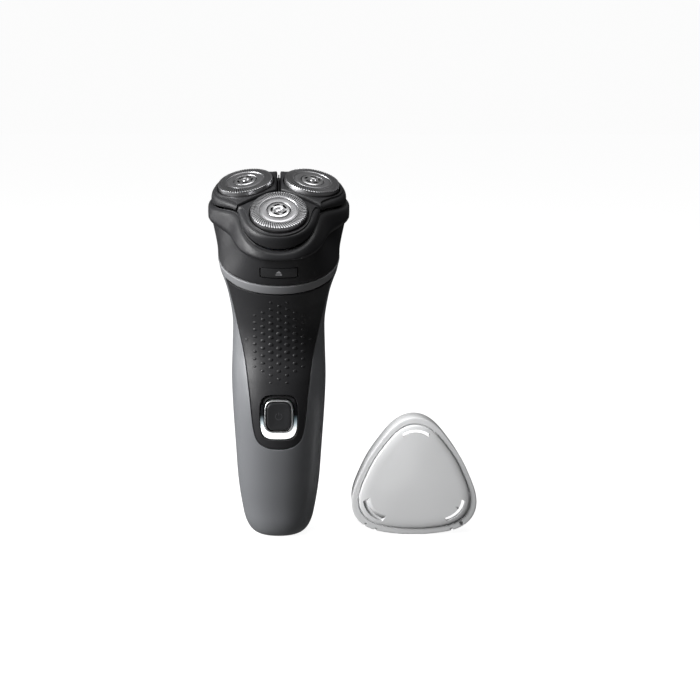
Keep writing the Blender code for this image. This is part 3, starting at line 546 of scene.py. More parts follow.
# Power button


def make_bezel(black, light):
    """The bezel, which fills the window, and the light ring round its lower part."""
    place = Matrix.Translation((0, 0, WINDOW_Z)) @ FRONT_VIEW
    outer = lambda inset: squircle(7.6 - inset, 9.3 - inset, steps=144)
    hole = [(x, y + 0.5) for x, y in squircle(6.2, 7.2, steps=144)]
    wall = [(0, 13.4), (0, 15.6), (0.15, 15.9), (0.4, 16.0)]
    rows = [ring_at(outer(inset), height) for inset, height in wall]
    middle = [((a + c) / 2, (b + d) / 2) for (a, b), (c, d) in zip(outer(0.4), hole)]
    rows += [ring_at(middle, 16.0), ring_at(hole, 15.6)]
    rows.append(ring_at(hole, 13.4))
    mesh = mesh_of(rows, wrap_rows=True, wrap_columns=True)
    piece("bezel_ring", mesh, black, "housing", place, ["button_bezel"])

    turns = [math.radians(24 - 228 * i / 120) for i in range(121)]
    across = [(1.0, 0.15), (0.92, 0.0), (0.5, -0.05), (0.08, 0.0), (0.0, 0.15)]
    rows = []
    for share, drop in across + [(0.0, 0.75), (1.0, 0.75)]:
        row = []
        for a in turns:
            half_width = 6.35 + (7.5 - 6.35) * share
            half_height = 7.2 + (9.2 - 7.2) * share
            x = half_width * power(math.cos(a), 0.55)
            row.append(Vector((x, 0.5 * (1 - share) + half_height * power(math.sin(a), 0.55), 17.1 - drop)))
        rows.append(row)
    piece("light_guide_ring", capped(mesh_of(rows, wrap_rows=True)), light, "housing", place, ["light_ring"])


def make_button(face, silver):
    """The key: a slightly dished face in a polished rim. Its middle carries a plain power mark."""
    place = Matrix.Translation((0, -18, BUTTON_Z)) @ FRONT_VIEW
    outline = lambda inset: squircle(5.05 - inset, 5.9 - inset, steps=144)
    profile = [(0.3, -3.9), (0, -3.6), (0, -0.45), (0.1, -0.2), (0.3, -0.06), (0.6, -0.02)]
    profile += [(0.6 + 3.9 * k / 6, -0.02 - 0.22 * math.sin(math.pi / 2 * k / 6)) for k in range(1, 7)]
    key = lofted(outline, profile)
    piece("button_key", key, face, "power_button", place, ["power_button"])

    rim = lambda inset: squircle(5.9 - inset, 6.9 - inset, steps=144)
    rows = [ring_at(rim(inset), height) for inset, height in (
        (0.05, -2.6), (0, -2.5), (0, -0.25), (0.06, -0.05), (0.2, 0.08), (0.4, 0.1), (0.55, 0.03),
        (0.62, -0.12), (0.62, -2.5), (0.58, -2.6),
    )]
    piece("button_rim", mesh_of(rows, wrap_rows=True, wrap_columns=True), silver, "power_button", place,
          ["power_button_rim"])


def flat_arc(radius, width, start, end, height, steps=40):
    """A flat band along an arc in x and y."""
    turns = [math.radians(start + (end - start) * i / steps) for i in range(steps + 1)]
    rows = [
        [Vector((r * math.cos(a), r * math.sin(a), height)) for a in turns]
        for r in (radius - width / 2, radius + width / 2)
    ]
    return mesh_of(rows)


def make_power_mark(finish):
    place = Matrix.Translation((0, -18, BUTTON_Z)) @ FRONT_VIEW
    ring = flat_arc(1.35, 0.28, 120, 420, -0.2)
    piece("power_mark_arc", ring, finish, "power_button", place, thick=0.1)
    bar = bevelled(box((-0.14, 0.35, -0.3), (0.14, 1.7, -0.19)), 0.03, 1)
    piece("power_mark_bar", bar, finish, "power_button", place)


# Head


def seam_radius(degrees):
    """Plan radius of the seam between the shaver holders and the bowl."""
    angle = math.radians(degrees)
    return SEAM_MEAN + SEAM_LOBE * math.cos(3 * angle) - SEAM_TRIM * math.cos(6 * angle)


def seam_height(degrees):
    return SEAM_HEIGHT - SEAM_DIP * math.cos(math.radians(3 * degrees))


def oval_point(angle, share, spread):
    """A point of the head's oval, at a share of the way from the collar's top to the band's bottom."""
    half_width = 27.4 - 2.9 * share + spread
    front, rear = 25.2 - 0.7 * share + spread, 26.6 - 1.6 * share + spread
    sine = math.sin(angle)
    exponent = 2 / (2.1 if sine < 0 else REAR_POWER_TOP)
    depth = (front if sine < 0 else rear) * power(sine, exponent)
    return Vector((half_width * power(math.cos(angle), exponent), RING_CENTRE + depth, 0))


def collar_waist(angle):
    """How far the collar's upper edge is drawn in from the oval, towards the seam between two holders."""
    edge = oval_point(angle, 0, 0)
    turn = math.atan2(edge.x, -edge.y)
    fill = COLLAR_FILL * (1 - math.cos(3 * turn)) / 2
    return max(0, edge.length - seam_radius(math.degrees(turn)) - COLLAR_MARGIN - fill)


def collar_point(angle, height, inset=0.0, flare=0.0):
    """A point of the collar or the band at this height, in the head's frame."""
    share = (COLLAR_TOP - height) / (COLLAR_TOP - BAND_BOTTOM)
    point = oval_point(angle, share, flare - inset)
    above = max(0, (height - COLLAR_BOTTOM) / (COLLAR_TOP - COLLAR_BOTTOM))
    point -= point.normalized() * collar_waist(angle) * above
    point.z = height
    return point


def collar_ring(height, inset=0.0, steps=288):
    return [collar_point(math.tau * i / steps, height, inset) for i in range(steps)]


def bowl_ring(share, grow, rise=0.0, steps=288):
    """A ring of the bowl: share 0 follows the holders' seam, 1 the collar's outline."""
    ring = []
    for i in range(steps):
        angle = math.tau * i / steps
        frontness = (1 - math.sin(angle)) / 2
        flare = BOWL_FLARE_REAR + (BOWL_FLARE_FRONT - BOWL_FLARE_REAR) * frontness
        low = collar_point(angle, COLLAR_TOP, 0, flare)
        degrees = math.degrees(math.atan2(low.x, -low.y))
        top = around(degrees) * (seam_radius(degrees) + grow)
        low = low + low.xy.normalized().to_3d() * grow
        point = top.lerp(low, share)
        point.z = (seam_height(degrees) - SEAM_GAP) * (1 - share) + BOWL_BOTTOM * share + rise
        ring.append(point)
    return ring


def knuckle(start, end):
    """A hinge knuckle along the hinge's axis, with chamfered ends."""
    chamfer = math.copysign(KNUCKLE_CHAMFER, end - start)
    ends = [(KNUCKLE_END_RADIUS, start), (KNUCKLE_RADIUS, start + chamfer)]
    ends += [(KNUCKLE_RADIUS, end - chamfer), (KNUCKLE_END_RADIUS, end)]
    return turned([(0, start)] + ends + [(0, end)], ROD_STEPS)


def make_bowl(black):
    """The head's bowl: its upper edge follows the holders' seam and its lower edge overhangs the collar."""
    swell = [(0.0, 0.0), (0.15, 1.25), (0.5, 1.4), (0.8, 1.05), (1.0, 0.0)]
    rows = [bowl_ring(0, -distance, 0.12 - drop) for distance, drop in reversed(rounded(0.5))]
    for k in range(1, 28):
        share, grow = curve_at(swell, 4 * k / 28)
        rows.append(bowl_ring(share, grow))
    rows += [bowl_ring(1, -distance, -(0.4 - drop)) for distance, drop in rounded(0.4)]
    rows += [bowl_ring(1, -1.8), bowl_ring(0.5, -2.0), bowl_ring(0, -1.8, -0.4)]
    steps = [("DIFFERENCE", (rod(KNUCKLE_RELIEF, side * 4.3, side * 8.8), HINGE)) for side in (-1, 1)]
    web = box((-3.9, HINGE_V - 4.35, HINGE_H + 1.2), (3.9, HINGE_V + 0.4, HINGE_H + 2.9))
    steps += [("UNION", (knuckle(-BOWL_KNUCKLE_HALF, BOWL_KNUCKLE_HALF), HINGE)), ("UNION", (web, HEAD))]
    steps += [("DIFFERENCE", (rod(PIN_BORE, -6, 6), HINGE))]
    mesh = mesh_of(rows, wrap_rows=True, wrap_columns=True)
    piece("head_bowl", mesh, black, "shaving_head", HEAD, ["head_frame"], steps=steps)


def petal_reach(angle):
    """Distance from a disc's centre to its holder's edge, for the front holder, in the head's plane."""
    way = Vector((math.cos(angle), math.sin(angle), 0))
    centre = around(0) * DISC_RADIUS
    reach = 40.0
    for side in (1, -1):
        normal = Vector((side * math.cos(math.radians(60)), math.sin(math.radians(60)), 0))
        run = way.dot(normal)
        if run > 1e-9:
            reach = min(reach, (-SIDE_GAP - centre.dot(normal)) / run)
    low, high = 0.0, reach
    for _ in range(30):
        middle = (low + high) / 2
        point = centre + way * middle
        inside = point.length < seam_radius(math.degrees(math.atan2(point.x, -point.y)))
        low, high = (middle, high) if inside else (low, middle)
    return low


def petal_angles():
    """Even angles round the disc, plus the exact ones of the holder's three corners."""
    corner = around(60) * seam_radius(60) - around(0) * DISC_RADIUS
    side = math.atan2(corner.y, corner.x)
    corners = [side, math.pi / 2, math.pi - side]
    even = [math.tau * i / 240 for i in range(240)]
    return sorted([a for a in even if min(abs(a - c) for c in corners) > math.tau / 700] + corners)


def petal_row(angle):
    """Across the front holder at one angle round its disc: hem, rounded skirt, step, top face and pocket."""
    centre = around(0) * DISC_RADIUS
    tilted = Matrix.Translation(centre) @ Matrix.Rotation(DISC_LEAN, 4, "X")
    way = Vector((math.cos(angle), math.sin(angle), 0))
    reach = petal_reach(angle)
    edge = centre + way * reach
    degrees = math.degrees(math.atan2(edge.x, -edge.y))
    on_seam = edge.length > seam_radius(degrees) - 0.05
    hem = seam_height(degrees) if on_seam else PETAL_SIDE_BOTTOM + 1.8 * (edge.length / 19.7) ** 4

    def top_at(radius):
        fall = 0.2 * max(0.0, radius - POCKET_RADIUS - 0.8)
        outward = -(centre + way * radius).y - DISC_RADIUS
        return PETAL_TOP / math.cos(DISC_LEAN) - math.tan(DISC_LEAN) * outward - fall

    def at(radius, height):
        return centre + way * radius + Vector((0, 0, height))

    step = max(reach - 2.3, POCKET_RADIUS + 0.75) if on_seam else reach - 0.9
    drop = 0.75 if on_seam else 0.12
    waist = hem + (top_at(reach) - hem) * (0.25 if on_seam else 0.5)
    row = [at(reach - 1.2, hem), at(reach - 0.15, hem), at(reach, hem + 0.15)]
    for k in range(10):
        turn = math.pi / 2 * k / 9
        radius = reach - (reach - step - 0.1) * (1 - math.cos(turn))
        row.append(at(radius, waist + (top_at(step) - drop - waist) * math.sin(turn)))
    for inward, low in ((0.02, drop * 0.6), (0.0, drop * 0.25), (-0.1, 0.03), (-0.25, 0.0)):
        row.append(at(step + inward, top_at(step + inward) - low))
    inner = POCKET_RADIUS + 0.3
    for share in (0.33, 0.66):
        radius = step - 0.25 + (inner - step + 0.25) * share
        row.append(at(radius, top_at(radius)))
    pocket = [(inner, PETAL_TOP), (POCKET_RADIUS + 0.09, PETAL_TOP - 0.09), (POCKET_RADIUS, PETAL_TOP - 0.3)]
    pocket += [(POCKET_RADIUS, POCKET_FLOOR), (LEDGE_RADIUS, POCKET_FLOOR), (LEDGE_RADIUS, PETAL_UNDERSIDE)]
    return row + [tilted @ (way * radius + Vector((0, 0, height))) for radius, height in pocket]


def make_petals(black):
    for name, degrees in DISCS.items():
        mesh = mesh_of([petal_row(angle) for angle in petal_angles()], wrap_rows=True, wrap_columns=True)
        turn = HEAD @ Matrix.Rotation(math.radians(degrees), 4, "Z")
        replaced = [f"head_holder_{name}"]
        piece(f"holder_{name}_shell", mesh, black, f"holder_{name}", turn, replaced, smooth=30)


def make_rib(black):
    """The head's rib, which fills most of the gaps between the three holders."""
    for name, degrees in DISCS.items():
        arm = HEAD @ Matrix.Rotation(math.radians(degrees + 60), 4, "Z")
        mesh = bevelled(box((-0.25, -18.6, -7.5), (0.25, -0.2, -3.4)), 0.08, 1)
        piece(f"head_rib_{name}", mesh, black, "shaving_head", arm)


SLOTS = 66
SLOT_INNER, SLOT_OUTER = 8.0, 11.3


def guard_mesh():
    """The guard's thin sheet, with open slots that run over its rounded rim, and a groove inside them."""
    profile = [
        (4.75, -0.7), (4.8, -0.2), (4.95, -0.05), (5.4, -0.02), (6.4, 0.0), (7.1, -0.02), (7.3, -0.1),
        (7.38, -0.32), (7.6, -0.36), (7.72, -0.1), (7.85, 0.0), (SLOT_INNER, 0.02), (8.7, 0.05), (9.5, 0.06),
        (10.3, 0.03),
        (10.8, -0.02), (11.1, -0.1), (11.25, -0.22), (SLOT_OUTER, -0.4), (GUARD_RADIUS, -0.75),
        (GUARD_RADIUS, -2.0), (GUARD_RADIUS + 0.06, -GUARD_SKIRT),
    ]
    rows = []
    for radius, height in profile:
        row = []
        for i in range(SLOTS):
            for share in (0.0, 0.28, 0.56):
                turn = math.tau * (i + share) / SLOTS + 0.035 * (radius - 9.5)
                row.append(Vector((radius * math.cos(turn), radius * math.sin(turn), height)))
        rows.append(row)
    first = profile.index((SLOT_INNER, 0.02))
    last = profile.index((SLOT_OUTER, -0.4))

    def slot(i, j):
        return first <= len(rows) - 2 - i < last and j % 3 == 2

    return mesh_of(rows[::-1], wrap_columns=True, hole=slot)


SWIRLS = 5


def centre_mesh():
    """The bright centre disc: a small boss in a ring groove, and five curved slots round it."""
    profile = [
        (0.0, 0.2), (0.5, 0.19), (0.85, 0.12), (0.98, -0.05), (1.02, -0.35), (1.45, -0.35), (1.5, -0.02),
        (1.7, 0.1), (2.35, 0.12), (2.4, 0.12), (3.35, 0.12), (3.4, 0.12), (3.9, 0.08), (4.3, 0.0),
        (4.5, -0.15), (4.55, -0.6),
    ]
    columns = 24 * SWIRLS
    rows = []
    for radius, height in profile:
        sweep = 0.16 * (radius - 2.85)
        turns = [math.tau * i / columns + sweep for i in range(columns)]
        rows.append([Vector((radius * math.cos(a), radius * math.sin(a), height)) for a in turns])
    arcs = profile.index((2.4, 0.12))

    def arc(i, j):
        return len(rows) - 2 - i == arcs and 3 <= j % 24 < 19

    return mesh_of(rows[::-1], wrap_columns=True, hole=arc)


def make_guards(steel, bright, black):
    for name in DISCS:
        place = disc_frame(name)
        body = f"guard_{name}"
        guard, centre = [f"shaving_guard_{name}"], [f"guard_centre_{name}"]
        piece(f"slotted_guard_{name}", guard_mesh(), steel, body, place, guard, thick=0.25)
        piece(f"centre_disc_{name}", centre_mesh(), bright, body, place, centre, thick=0.2)
        # Painted shade: a black disc under the centre disc, so its five arc slots show dark where the shade
        # under the disc falls.
        shade_plate = turned([(0, -0.62), (4.2, -0.62), (4.35, -0.7), (4.35, -0.95), (0, -0.95)])
        piece(f"centre_core_{name}", shade_plate, black, body, place)


def make_collar(black, band, face, mark):
    rows = [collar_ring(COLLAR_TOP, COLLAR_WALL), collar_ring(COLLAR_TOP, 0.5)]
    rows += [collar_ring(COLLAR_TOP - distance, drop) for distance, drop in rounded(0.5)]
    rows += [collar_ring(COLLAR_TOP + (COLLAR_BOTTOM - COLLAR_TOP) * k / 8) for k in range(1, 8)]
    rows += [collar_ring(COLLAR_BOTTOM + distance, drop) for distance, drop in reversed(rounded(0.8))]
    rows += [collar_ring(COLLAR_BOTTOM, COLLAR_WALL), collar_ring(-22.0, COLLAR_WALL)]
    opening = [(x, y + RELEASE_HEIGHT) for x, y in squircle(7.75, 2.65, 9, 144)]
    steps = [("DIFFERENCE", (prism(opening, 20, 40), HEAD @ Matrix.Rotation(math.pi / 2, 4, "X")))]
    for side in (-1, 1):
        near, far = side * COLLAR_KNUCKLE_NEAR, side * COLLAR_KNUCKLE_FAR
        low, high = min(near, far) + 0.15, max(near, far) - 0.15
        lug = box((low, HINGE_V - 4.6, HINGE_H - 4.6), (high, HINGE_V, HINGE_H - 1.2))
        steps += [("UNION", (knuckle(near, far), HINGE)), ("UNION", (lug, HEAD))]
    steps += [("DIFFERENCE", (rod(PIN_BORE, -9, 9), HINGE))]
    steps += [("DIFFERENCE", (rod(KNUCKLE_RELIEF, -4.5, 4.5), HINGE))]
    mesh = mesh_of(rows, wrap_rows=True, wrap_columns=True)
    piece("collar_ring", mesh, black, "housing", HEAD, ["head_collar"], steps=steps)

    rows = [collar_ring(BAND_TOP, WALL)]
    rows += [collar_ring(BAND_TOP - distance, drop - 0.1) for distance, drop in rounded(0.35)]
    rows += [collar_ring(BAND_BOTTOM + distance, drop - 0.05) for distance, drop in reversed(rounded(0.35))]
    rows += [collar_ring(BAND_BOTTOM, WALL)]
    mesh = mesh_of(rows, wrap_rows=True, wrap_columns=True)
    piece("band_ring", mesh, band, "housing", HEAD, ["trim_band"])
    make_release(face, mark)


def release_outline(inset):
    """The release button seen from above: a front that follows the collar, and a flat back."""
    half, radius = RELEASE_HALF_WIDTH - inset, RELEASE_FRONT + 0.3 - inset
    across = [half * k / 24 for k in range(-24, 25)]
    front = [(x, RELEASE_FRONT - math.sqrt(radius**2 - x**2)) for x in across]
    return front + [(half, 2.2 - inset), (-half, 2.2 - inset)]


def make_release(face, mark):
    """The button that frees the head, and its mark: a triangle over a bar."""
    place = HEAD @ Matrix.Translation((0, -RELEASE_FRONT, RELEASE_HEIGHT))
    profile = [(drop, -RELEASE_HALF_HEIGHT + distance) for distance, drop in rounded(0.35, 3)]
    profile += [(drop, RELEASE_HALF_HEIGHT - distance) for distance, drop in reversed(rounded(0.35, 3))]
    piece("release_key", lofted(release_outline, profile), face, "release_button", place, ["release_button"])

    seen = place @ Matrix.Translation((0, -0.3, -0.1)) @ Matrix.Rotation(math.pi / 2, 4, "X")
    triangle = [(-1.15, 0.15), (1.15, 0.15), (0, 1.35)]
    bar = [(-1.3, -0.75), (1.3, -0.75), (1.3, -0.35), (-1.3, -0.35)]
    for name, outline in (("triangle", triangle), ("bar", bar)):
        piece(f"release_mark_{name}", prism(outline, -0.3, 0.04), mark, "release_button", seen)


# Cap


def cap_outline(half_width, steps=360):
    """A rounded triangle with bulging sides, its flat side down, centred on its box."""
    points = []
    for i in range(steps):
        angle = math.tau * i / steps
        turn = 3 * (angle - math.pi / 2)
        radius = 1 + 0.125 * math.cos(turn) + 0.019 * math.cos(2 * turn)
        points.append((radius * math.cos(angle), radius * math.sin(angle)))
    width = max(x for x, y in points)
    low, high = min(y for x, y in points), max(y for x, y in points)
    scale = half_width / width
    return [(x * scale, (max(y, low * 0.99) - (low + high) / 2) * scale) for x, y in points]


CORNERS = (90, 215, 325)
NOTCHES = (221, 231, 309, 319)


def cap_sector(corner, reach, near, far, low, high):
    """A solid that follows the cap's outline over this many degrees either side of a corner."""
    turns = range(corner - reach, corner + reach + 1)
    edges = [[cap_outline(CAP_HALF - inset)[turn] for turn in turns] for inset in (near, far)]
    return prism(edges[0] + edges[1][::-1], low, high)


def make_cap(finish):
    """The cap: a raised face with three arc slots, a groove round it, a flange with notches, and a skirt."""
    profile = [(1.4, -CAP_DEPTH), (0.5, -CAP_DEPTH)]
    profile += [(0.4 * (1 - k), -CAP_DEPTH + 0.4 + (CAP_DEPTH - 2.4) * k) for k in (0, 0.5, 1)]
    profile += [(0.05, -1.85), (0.2, -1.68), (0.45, -1.6), (1.2, -1.52), (2.5, -1.45)]
    groove = len(profile)
    profile += [(2.6, -1.55), (2.64, -2.1), (3.1, -2.1), (3.14, -1.2)]
    profile += [(3.3, -0.85), (3.55, -0.62), (3.9, -0.48), (4.75, -0.25), (6.1, -0.02), (8.0, 0.12)]
    profile += [(11.0, 0.32), (15.0, 0.55), (20.0, 0.78), (24.0, 0.88), (26.45, 0.9)]
    profile += [(26.45, -0.2), (20.0, -0.25), (11.0, -0.6), (6.5, -1.3), (3.5, -2.7), (2.0, -3.2)]
    profile += [(1.4, -4.0)]
    rows = []
    for k, (inset, height) in enumerate(profile):
        row = []
        for i, (x, y) in enumerate(cap_outline(CAP_HALF - inset)):
            bridge = any(abs(i - corner - side * 22) < 2.5 for corner in CORNERS for side in (1, -1))
            lift = 0.5 if bridge and groove < k < groove + 3 else 0.0
            row.append(Vector((x, y, height + lift)))
        rows.append(row)
    back = profile.index((26.45, -0.2))
    for k in (back - 1, back):
        rows[k] = [Vector((0, 0, profile[k][1]))] * len(rows[k])
    place = Matrix.Translation(cap_middle()) @ FRONT_VIEW
    steps = [("DIFFERENCE", (cap_sector(corner, 15, 5.0, 6.5, -5, 3), place)) for corner in CORNERS]
    steps += [("DIFFERENCE", (cap_sector(notch, 1, -1.0, 1.2, -3.4, 3), place)) for notch in NOTCHES]
    mesh = mesh_of(rows + rows[:1], wrap_columns=True)
    piece("cap_shell", mesh, finish, "cap", place, ["protective_cap"], steps=steps)


def cap_middle():
    low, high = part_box("protective_cap")
    return Vector(((low.x + high.x) / 2, low.y + 0.9 * MM, (low.z + high.z) / 2)) / MM


# Finishes


def start(slot, colour, roughness, metallic=0.0, coat=0.0, specular=0.5):
    """A material named after the record's slot, with its even values on the shader itself."""
    made = bpy.data.materials.new(slot)
    made["slot"] = slot
    made.use_nodes = True
    shader = made.node_tree.nodes["Principled BSDF"]
    shader.inputs["Base Color"].default_value = (*colour, 1)
    shader.inputs["Roughness"].default_value = roughness
    shader.inputs["Metallic"].default_value = metallic
    shader.inputs["Coat Weight"].default_value = coat
    shader.inputs["Specular IOR Level"].default_value = specular
    return made, made.node_tree, shader


def linked(tree, kind, links=(), **values):
    """A node with some inputs linked, by name, and some settings or input values."""
    made = tree.nodes.new(kind)
    for key, value in values.items():
        if hasattr(made, key):
            setattr(made, key, value)
        else:
            made.inputs[key.replace("_", " ")].default_value = value
    for key, source in dict(links).items():
        tree.links.new(source, made.inputs[key])
    return made


def place_of(tree):
    return linked(tree, "ShaderNodeTexCoord").outputs["Object"]


def noise_of(tree, scale, detail=2.0, vector=None):
    source = vector or place_of(tree)
    return linked(tree, "ShaderNodeTexNoise", {"Vector": source}, Scale=scale, Detail=detail).outputs["Fac"]


def ranged(tree, value, low, high, start_at=0.3, end_at=0.7):
    made = linked(tree, "ShaderNodeMapRange", {"Value": value})
    for key, number in (("From Min", start_at), ("From Max", end_at), ("To Min", low), ("To Max", high)):
        made.inputs[key].default_value = number
    return made.outputs["Result"]


def calculated(tree, operation, *values):
    made = linked(tree, "ShaderNodeMath", operation=operation)
    for socket, value in zip(made.inputs, values):
        if isinstance(value, (int, float)):
            socket.default_value = value
        else:
            tree.links.new(value, socket)
    return made.outputs["Value"]


def tinted(tree, amount, dark, light):
    """A colour between two, by an amount from 0 to 1."""
    made = linked(tree, "ShaderNodeMix", data_type="RGBA")
    colours = [socket for socket in made.inputs if socket.type == "RGBA"]
    colours[0].default_value, colours[1].default_value = (*dark, 1), (*light, 1)
    tree.links.new(amount, made.inputs[0])
    return next(socket for socket in made.outputs if socket.type == "RGBA")


def bumped(tree, shader, height, distance, strength=1.0):
    made = linked(tree, "ShaderNodeBump", {"Height": height}, Distance=distance, Strength=strength)
    tree.links.new(made.outputs["Normal"], shader.inputs["Normal"])


def moulded(slot, colour, roughness, grain=0.00002, grain_scale=5200, shift=0.08, **more):
    """Moulded plastic: a fine spark-eroded grain, cloudy gloss, and a slight change of shade."""
    made, tree, shader = start(slot, colour, roughness, **more)
    clouds = noise_of(tree, 38, 4)
    dark = [value * (1 - shift) for value in colour]
    light = [value * (1 + shift) for value in colour]
    tree.links.new(tinted(tree, ranged(tree, clouds, 0, 1), dark, light), shader.inputs["Base Color"])
    fine = noise_of(tree, 900, 3)
    tree.links.new(ranged(tree, fine, roughness - 0.05, roughness + 0.06), shader.inputs["Roughness"])
    bumped(tree, shader, noise_of(tree, grain_scale, 2), grain)
    return made


def turning(tree, radial, angular):
    """Noise drawn out round the object's own Z axis, as a lathe leaves it."""
    parts = linked(tree, "ShaderNodeSeparateXYZ", {"Vector": place_of(tree)}).outputs
    square = calculated(tree, "ADD", calculated(tree, "MULTIPLY", parts["X"], parts["X"]),
                        calculated(tree, "MULTIPLY", parts["Y"], parts["Y"]))
    radius = calculated(tree, "MULTIPLY", calculated(tree, "SQRT", square), radial)
    turn = calculated(tree, "MULTIPLY", calculated(tree, "ARCTAN2", parts["Y"], parts["X"]), angular)
    joined = linked(tree, "ShaderNodeCombineXYZ", {"X": radius, "Y": turn, "Z": parts["Z"]})
    return noise_of(tree, 1.0, 3, joined.outputs["Vector"])


def lathed(slot, colour, roughness, radial=9000, angular=1.2, depth=0.00001, shift=0.12):
    """Metal with fine turning marks round its axis."""
    made, tree, shader = start(slot, colour, roughness, 1.0)
    made["own_axis"] = True
    marks = turning(tree, radial, angular)
    dark = [value * (1 - shift) for value in colour]
    tree.links.new(tinted(tree, ranged(tree, marks, 0, 1), dark, colour), shader.inputs["Base Color"])
    tree.links.new(ranged(tree, marks, roughness - 0.06, roughness + 0.1), shader.inputs["Roughness"])
    bumped(tree, shader, marks, depth)
    return made


def light_guide():
    """A lit guide, brightest at its bottom and fading to dark at its two upper ends."""
    made, tree, shader = start("light_guide", (0.8, 0.9, 0.92), 0.25)
    made["own_axis"] = True
    parts = linked(tree, "ShaderNodeSeparateXYZ", {"Vector": place_of(tree)}).outputs
    glow = ranged(tree, parts["Y"], 1.0, 0.0, -0.0045, 0.0012)
    soft = calculated(tree, "POWER", glow, 1.6)
    colour = tinted(tree, soft, (0.01, 0.011, 0.013), (0.85, 0.93, 0.95))
    tree.links.new(colour, shader.inputs["Base Color"])
    tree.links.new(tinted(tree, soft, (0.35, 0.6, 0.72), (1.0, 1.0, 1.0)), shader.inputs["Emission Color"])
    grain = ranged(tree, noise_of(tree, 500, 2), 0.95, 1.05)
    tree.links.new(calculated(tree, "MULTIPLY", calculated(tree, "MULTIPLY", soft, 0.9), grain),
                   shader.inputs["Emission Strength"])
    return made


def wrapped_cell():
    """A battery's printed sleeve: two plain bands over a glossy film."""
    made, tree, shader = start("battery_wrap", (0.05, 0.25, 0.35), 0.3, coat=0.3)
    parts = linked(tree, "ShaderNodeSeparateXYZ", {"Vector": place_of(tree)}).outputs
    band = ranged(tree, parts["Z"], 0, 1, 0.0605, 0.0608)
    tree.links.new(tinted(tree, band, (0.04, 0.22, 0.32), (0.5, 0.52, 0.53)), shader.inputs["Base Color"])
    tree.links.new(ranged(tree, noise_of(tree, 700, 3), 0.24, 0.38), shader.inputs["Roughness"])
    bumped(tree, shader, noise_of(tree, 260, 2), 0.00004)
    return made


def laminate():
    """Solder mask over copper tracks that run at right angles."""
    made, tree, shader = start("board_green", (0.02, 0.16, 0.06), 0.4, coat=0.3)
    tracks = linked(tree, "ShaderNodeTexBrick", {"Vector": place_of(tree)}, Scale=420.0).outputs["Fac"]
    colour = tinted(tree, tracks, (0.012, 0.12, 0.045), (0.05, 0.26, 0.09))
    tree.links.new(colour, shader.inputs["Base Color"])
    tree.links.new(ranged(tree, noise_of(tree, 900, 2), 0.32, 0.5), shader.inputs["Roughness"])
    bumped(tree, shader, tracks, 0.00003)
    return made


def make_finishes():
    grey, black = (0.138, 0.142, 0.15), (0.021, 0.021, 0.0225)
    made = {finish["slot"]: finish for finish in (
        moulded("grey_shell", grey, 0.42, shift=0.03),
        moulded("black_shell", black, 0.42, shift=0.1, specular=0.3),
        moulded("holder_black", (0.02, 0.02, 0.0215), 0.4, shift=0.1, specular=0.3),
        moulded("band_grey", (0.2, 0.202, 0.21), 0.36, shift=0.03),
        moulded("button_face", (0.024, 0.0245, 0.026), 0.36, shift=0.1),
        lathed("silver_trim", (0.74, 0.75, 0.76), 0.36, radial=3000),
        light_guide(),
        lathed("shaver_steel", (0.44, 0.44, 0.45), 0.32, angular=0.5, depth=0.000003, shift=0.06),
        lathed("bright_steel", (0.66, 0.66, 0.67), 0.28, angular=0.4, depth=0.000002, shift=0.04),
        lathed("cutter_steel", (0.3, 0.3, 0.31), 0.3, radial=5000),
        # Painted shade: the cutters get a steel far darker than their own, so the guard slots show the shade
        # under the guards.
        lathed("blade_steel", (0.1, 0.1, 0.105), 0.4, radial=5000),
        moulded("coupling_blue", (0.1, 0.2, 0.45), 0.4),
        moulded("gear_white", (0.78, 0.78, 0.73), 0.38, shift=0.03),
        lathed("pinion_brass", (0.7, 0.5, 0.2), 0.3),
        moulded("inner_grey", (0.2, 0.21, 0.22), 0.5),
        laminate(),
        moulded("socket_black", (0.01, 0.01, 0.011), 0.45),
        wrapped_cell(),
        moulded("cap_satin", (0.7, 0.705, 0.71), 0.34, grain=0.00001, shift=0.015),
        moulded("mark_grey", (0.35, 0.35, 0.36), 0.5),
        moulded("mark_dim", (0.055, 0.056, 0.06), 0.45),
    )}
    made["mark_grey"]["slot"] = "band_grey"
    made["mark_dim"]["slot"] = "button_face"
    return made


KEPT_NODES = {
    # The cutters' dark steel is painted shade, seen through the guard slots.
    "blade_steel": ["cutter"],
    "cutter_steel": ["hinge_pin", "gear_axle", "motor_shaft", "deck_screw", "chassis_screw", "motor_can"],
    "coupling_blue": ["cutter_hub", "drive_spindle"],
    "gear_white": ["drive_gear"],
    "pinion_brass": ["motor_pinion", "socket_pin"],
    "inner_grey": ["drive_deck", "motor_mount", "chassis"],
    "holder_black": ["retaining_frame", "motor_end_cap", "tact_switch"],
    "band_grey": ["retaining_lock"],
    "board_green": ["circuit_board"],
    "battery_wrap": ["battery_cell"],
    "socket_black": ["charging_socket"],
}


def dress_kept_nodes(finishes):
    """The design's own nodes that stay get the finish of the longest name that they start with."""
    finish_of = {prefix: finish for finish, prefixes in KEPT_NODES.items() for prefix in prefixes}
    for name, kept in frame["nodes"].items():
        longest = max((prefix for prefix in finish_of if name.startswith(prefix)), key=len, default=None)
        if longest:
            kept.data.materials.clear()
            kept.data.materials.append(finishes[finish_of[longest]])


# Floor, light and camera

VIEW_CENTRE = Vector((0.0, 0.0, 0.079))
VIEW_SHIFT = 0.1017
VIEW_DISTANCE, VIEW_HEIGHT = 0.6, math.radians(11)
LIGHT_AIM, LIGHT_DISTANCE = Vector((0.01, 0, 0.09)), 0.9


def make_stage():
    mesh = bmesh.new()
    bmesh.ops.create_grid(mesh, x_segments=1, y_segments=1, size=4000)
    floor = new_object("floor", mesh)
    made, _, shader = start("floor_white", (0.25, 0.25, 0.25), 0.9, specular=0.0)
    shader.inputs["Emission Color"].default_value = (1, 1, 1, 1)
    shader.inputs["Emission Strength"].default_value = 0.93
    floor.data.materials.append(made)
    floor.visible_diffuse = floor.visible_glossy = False


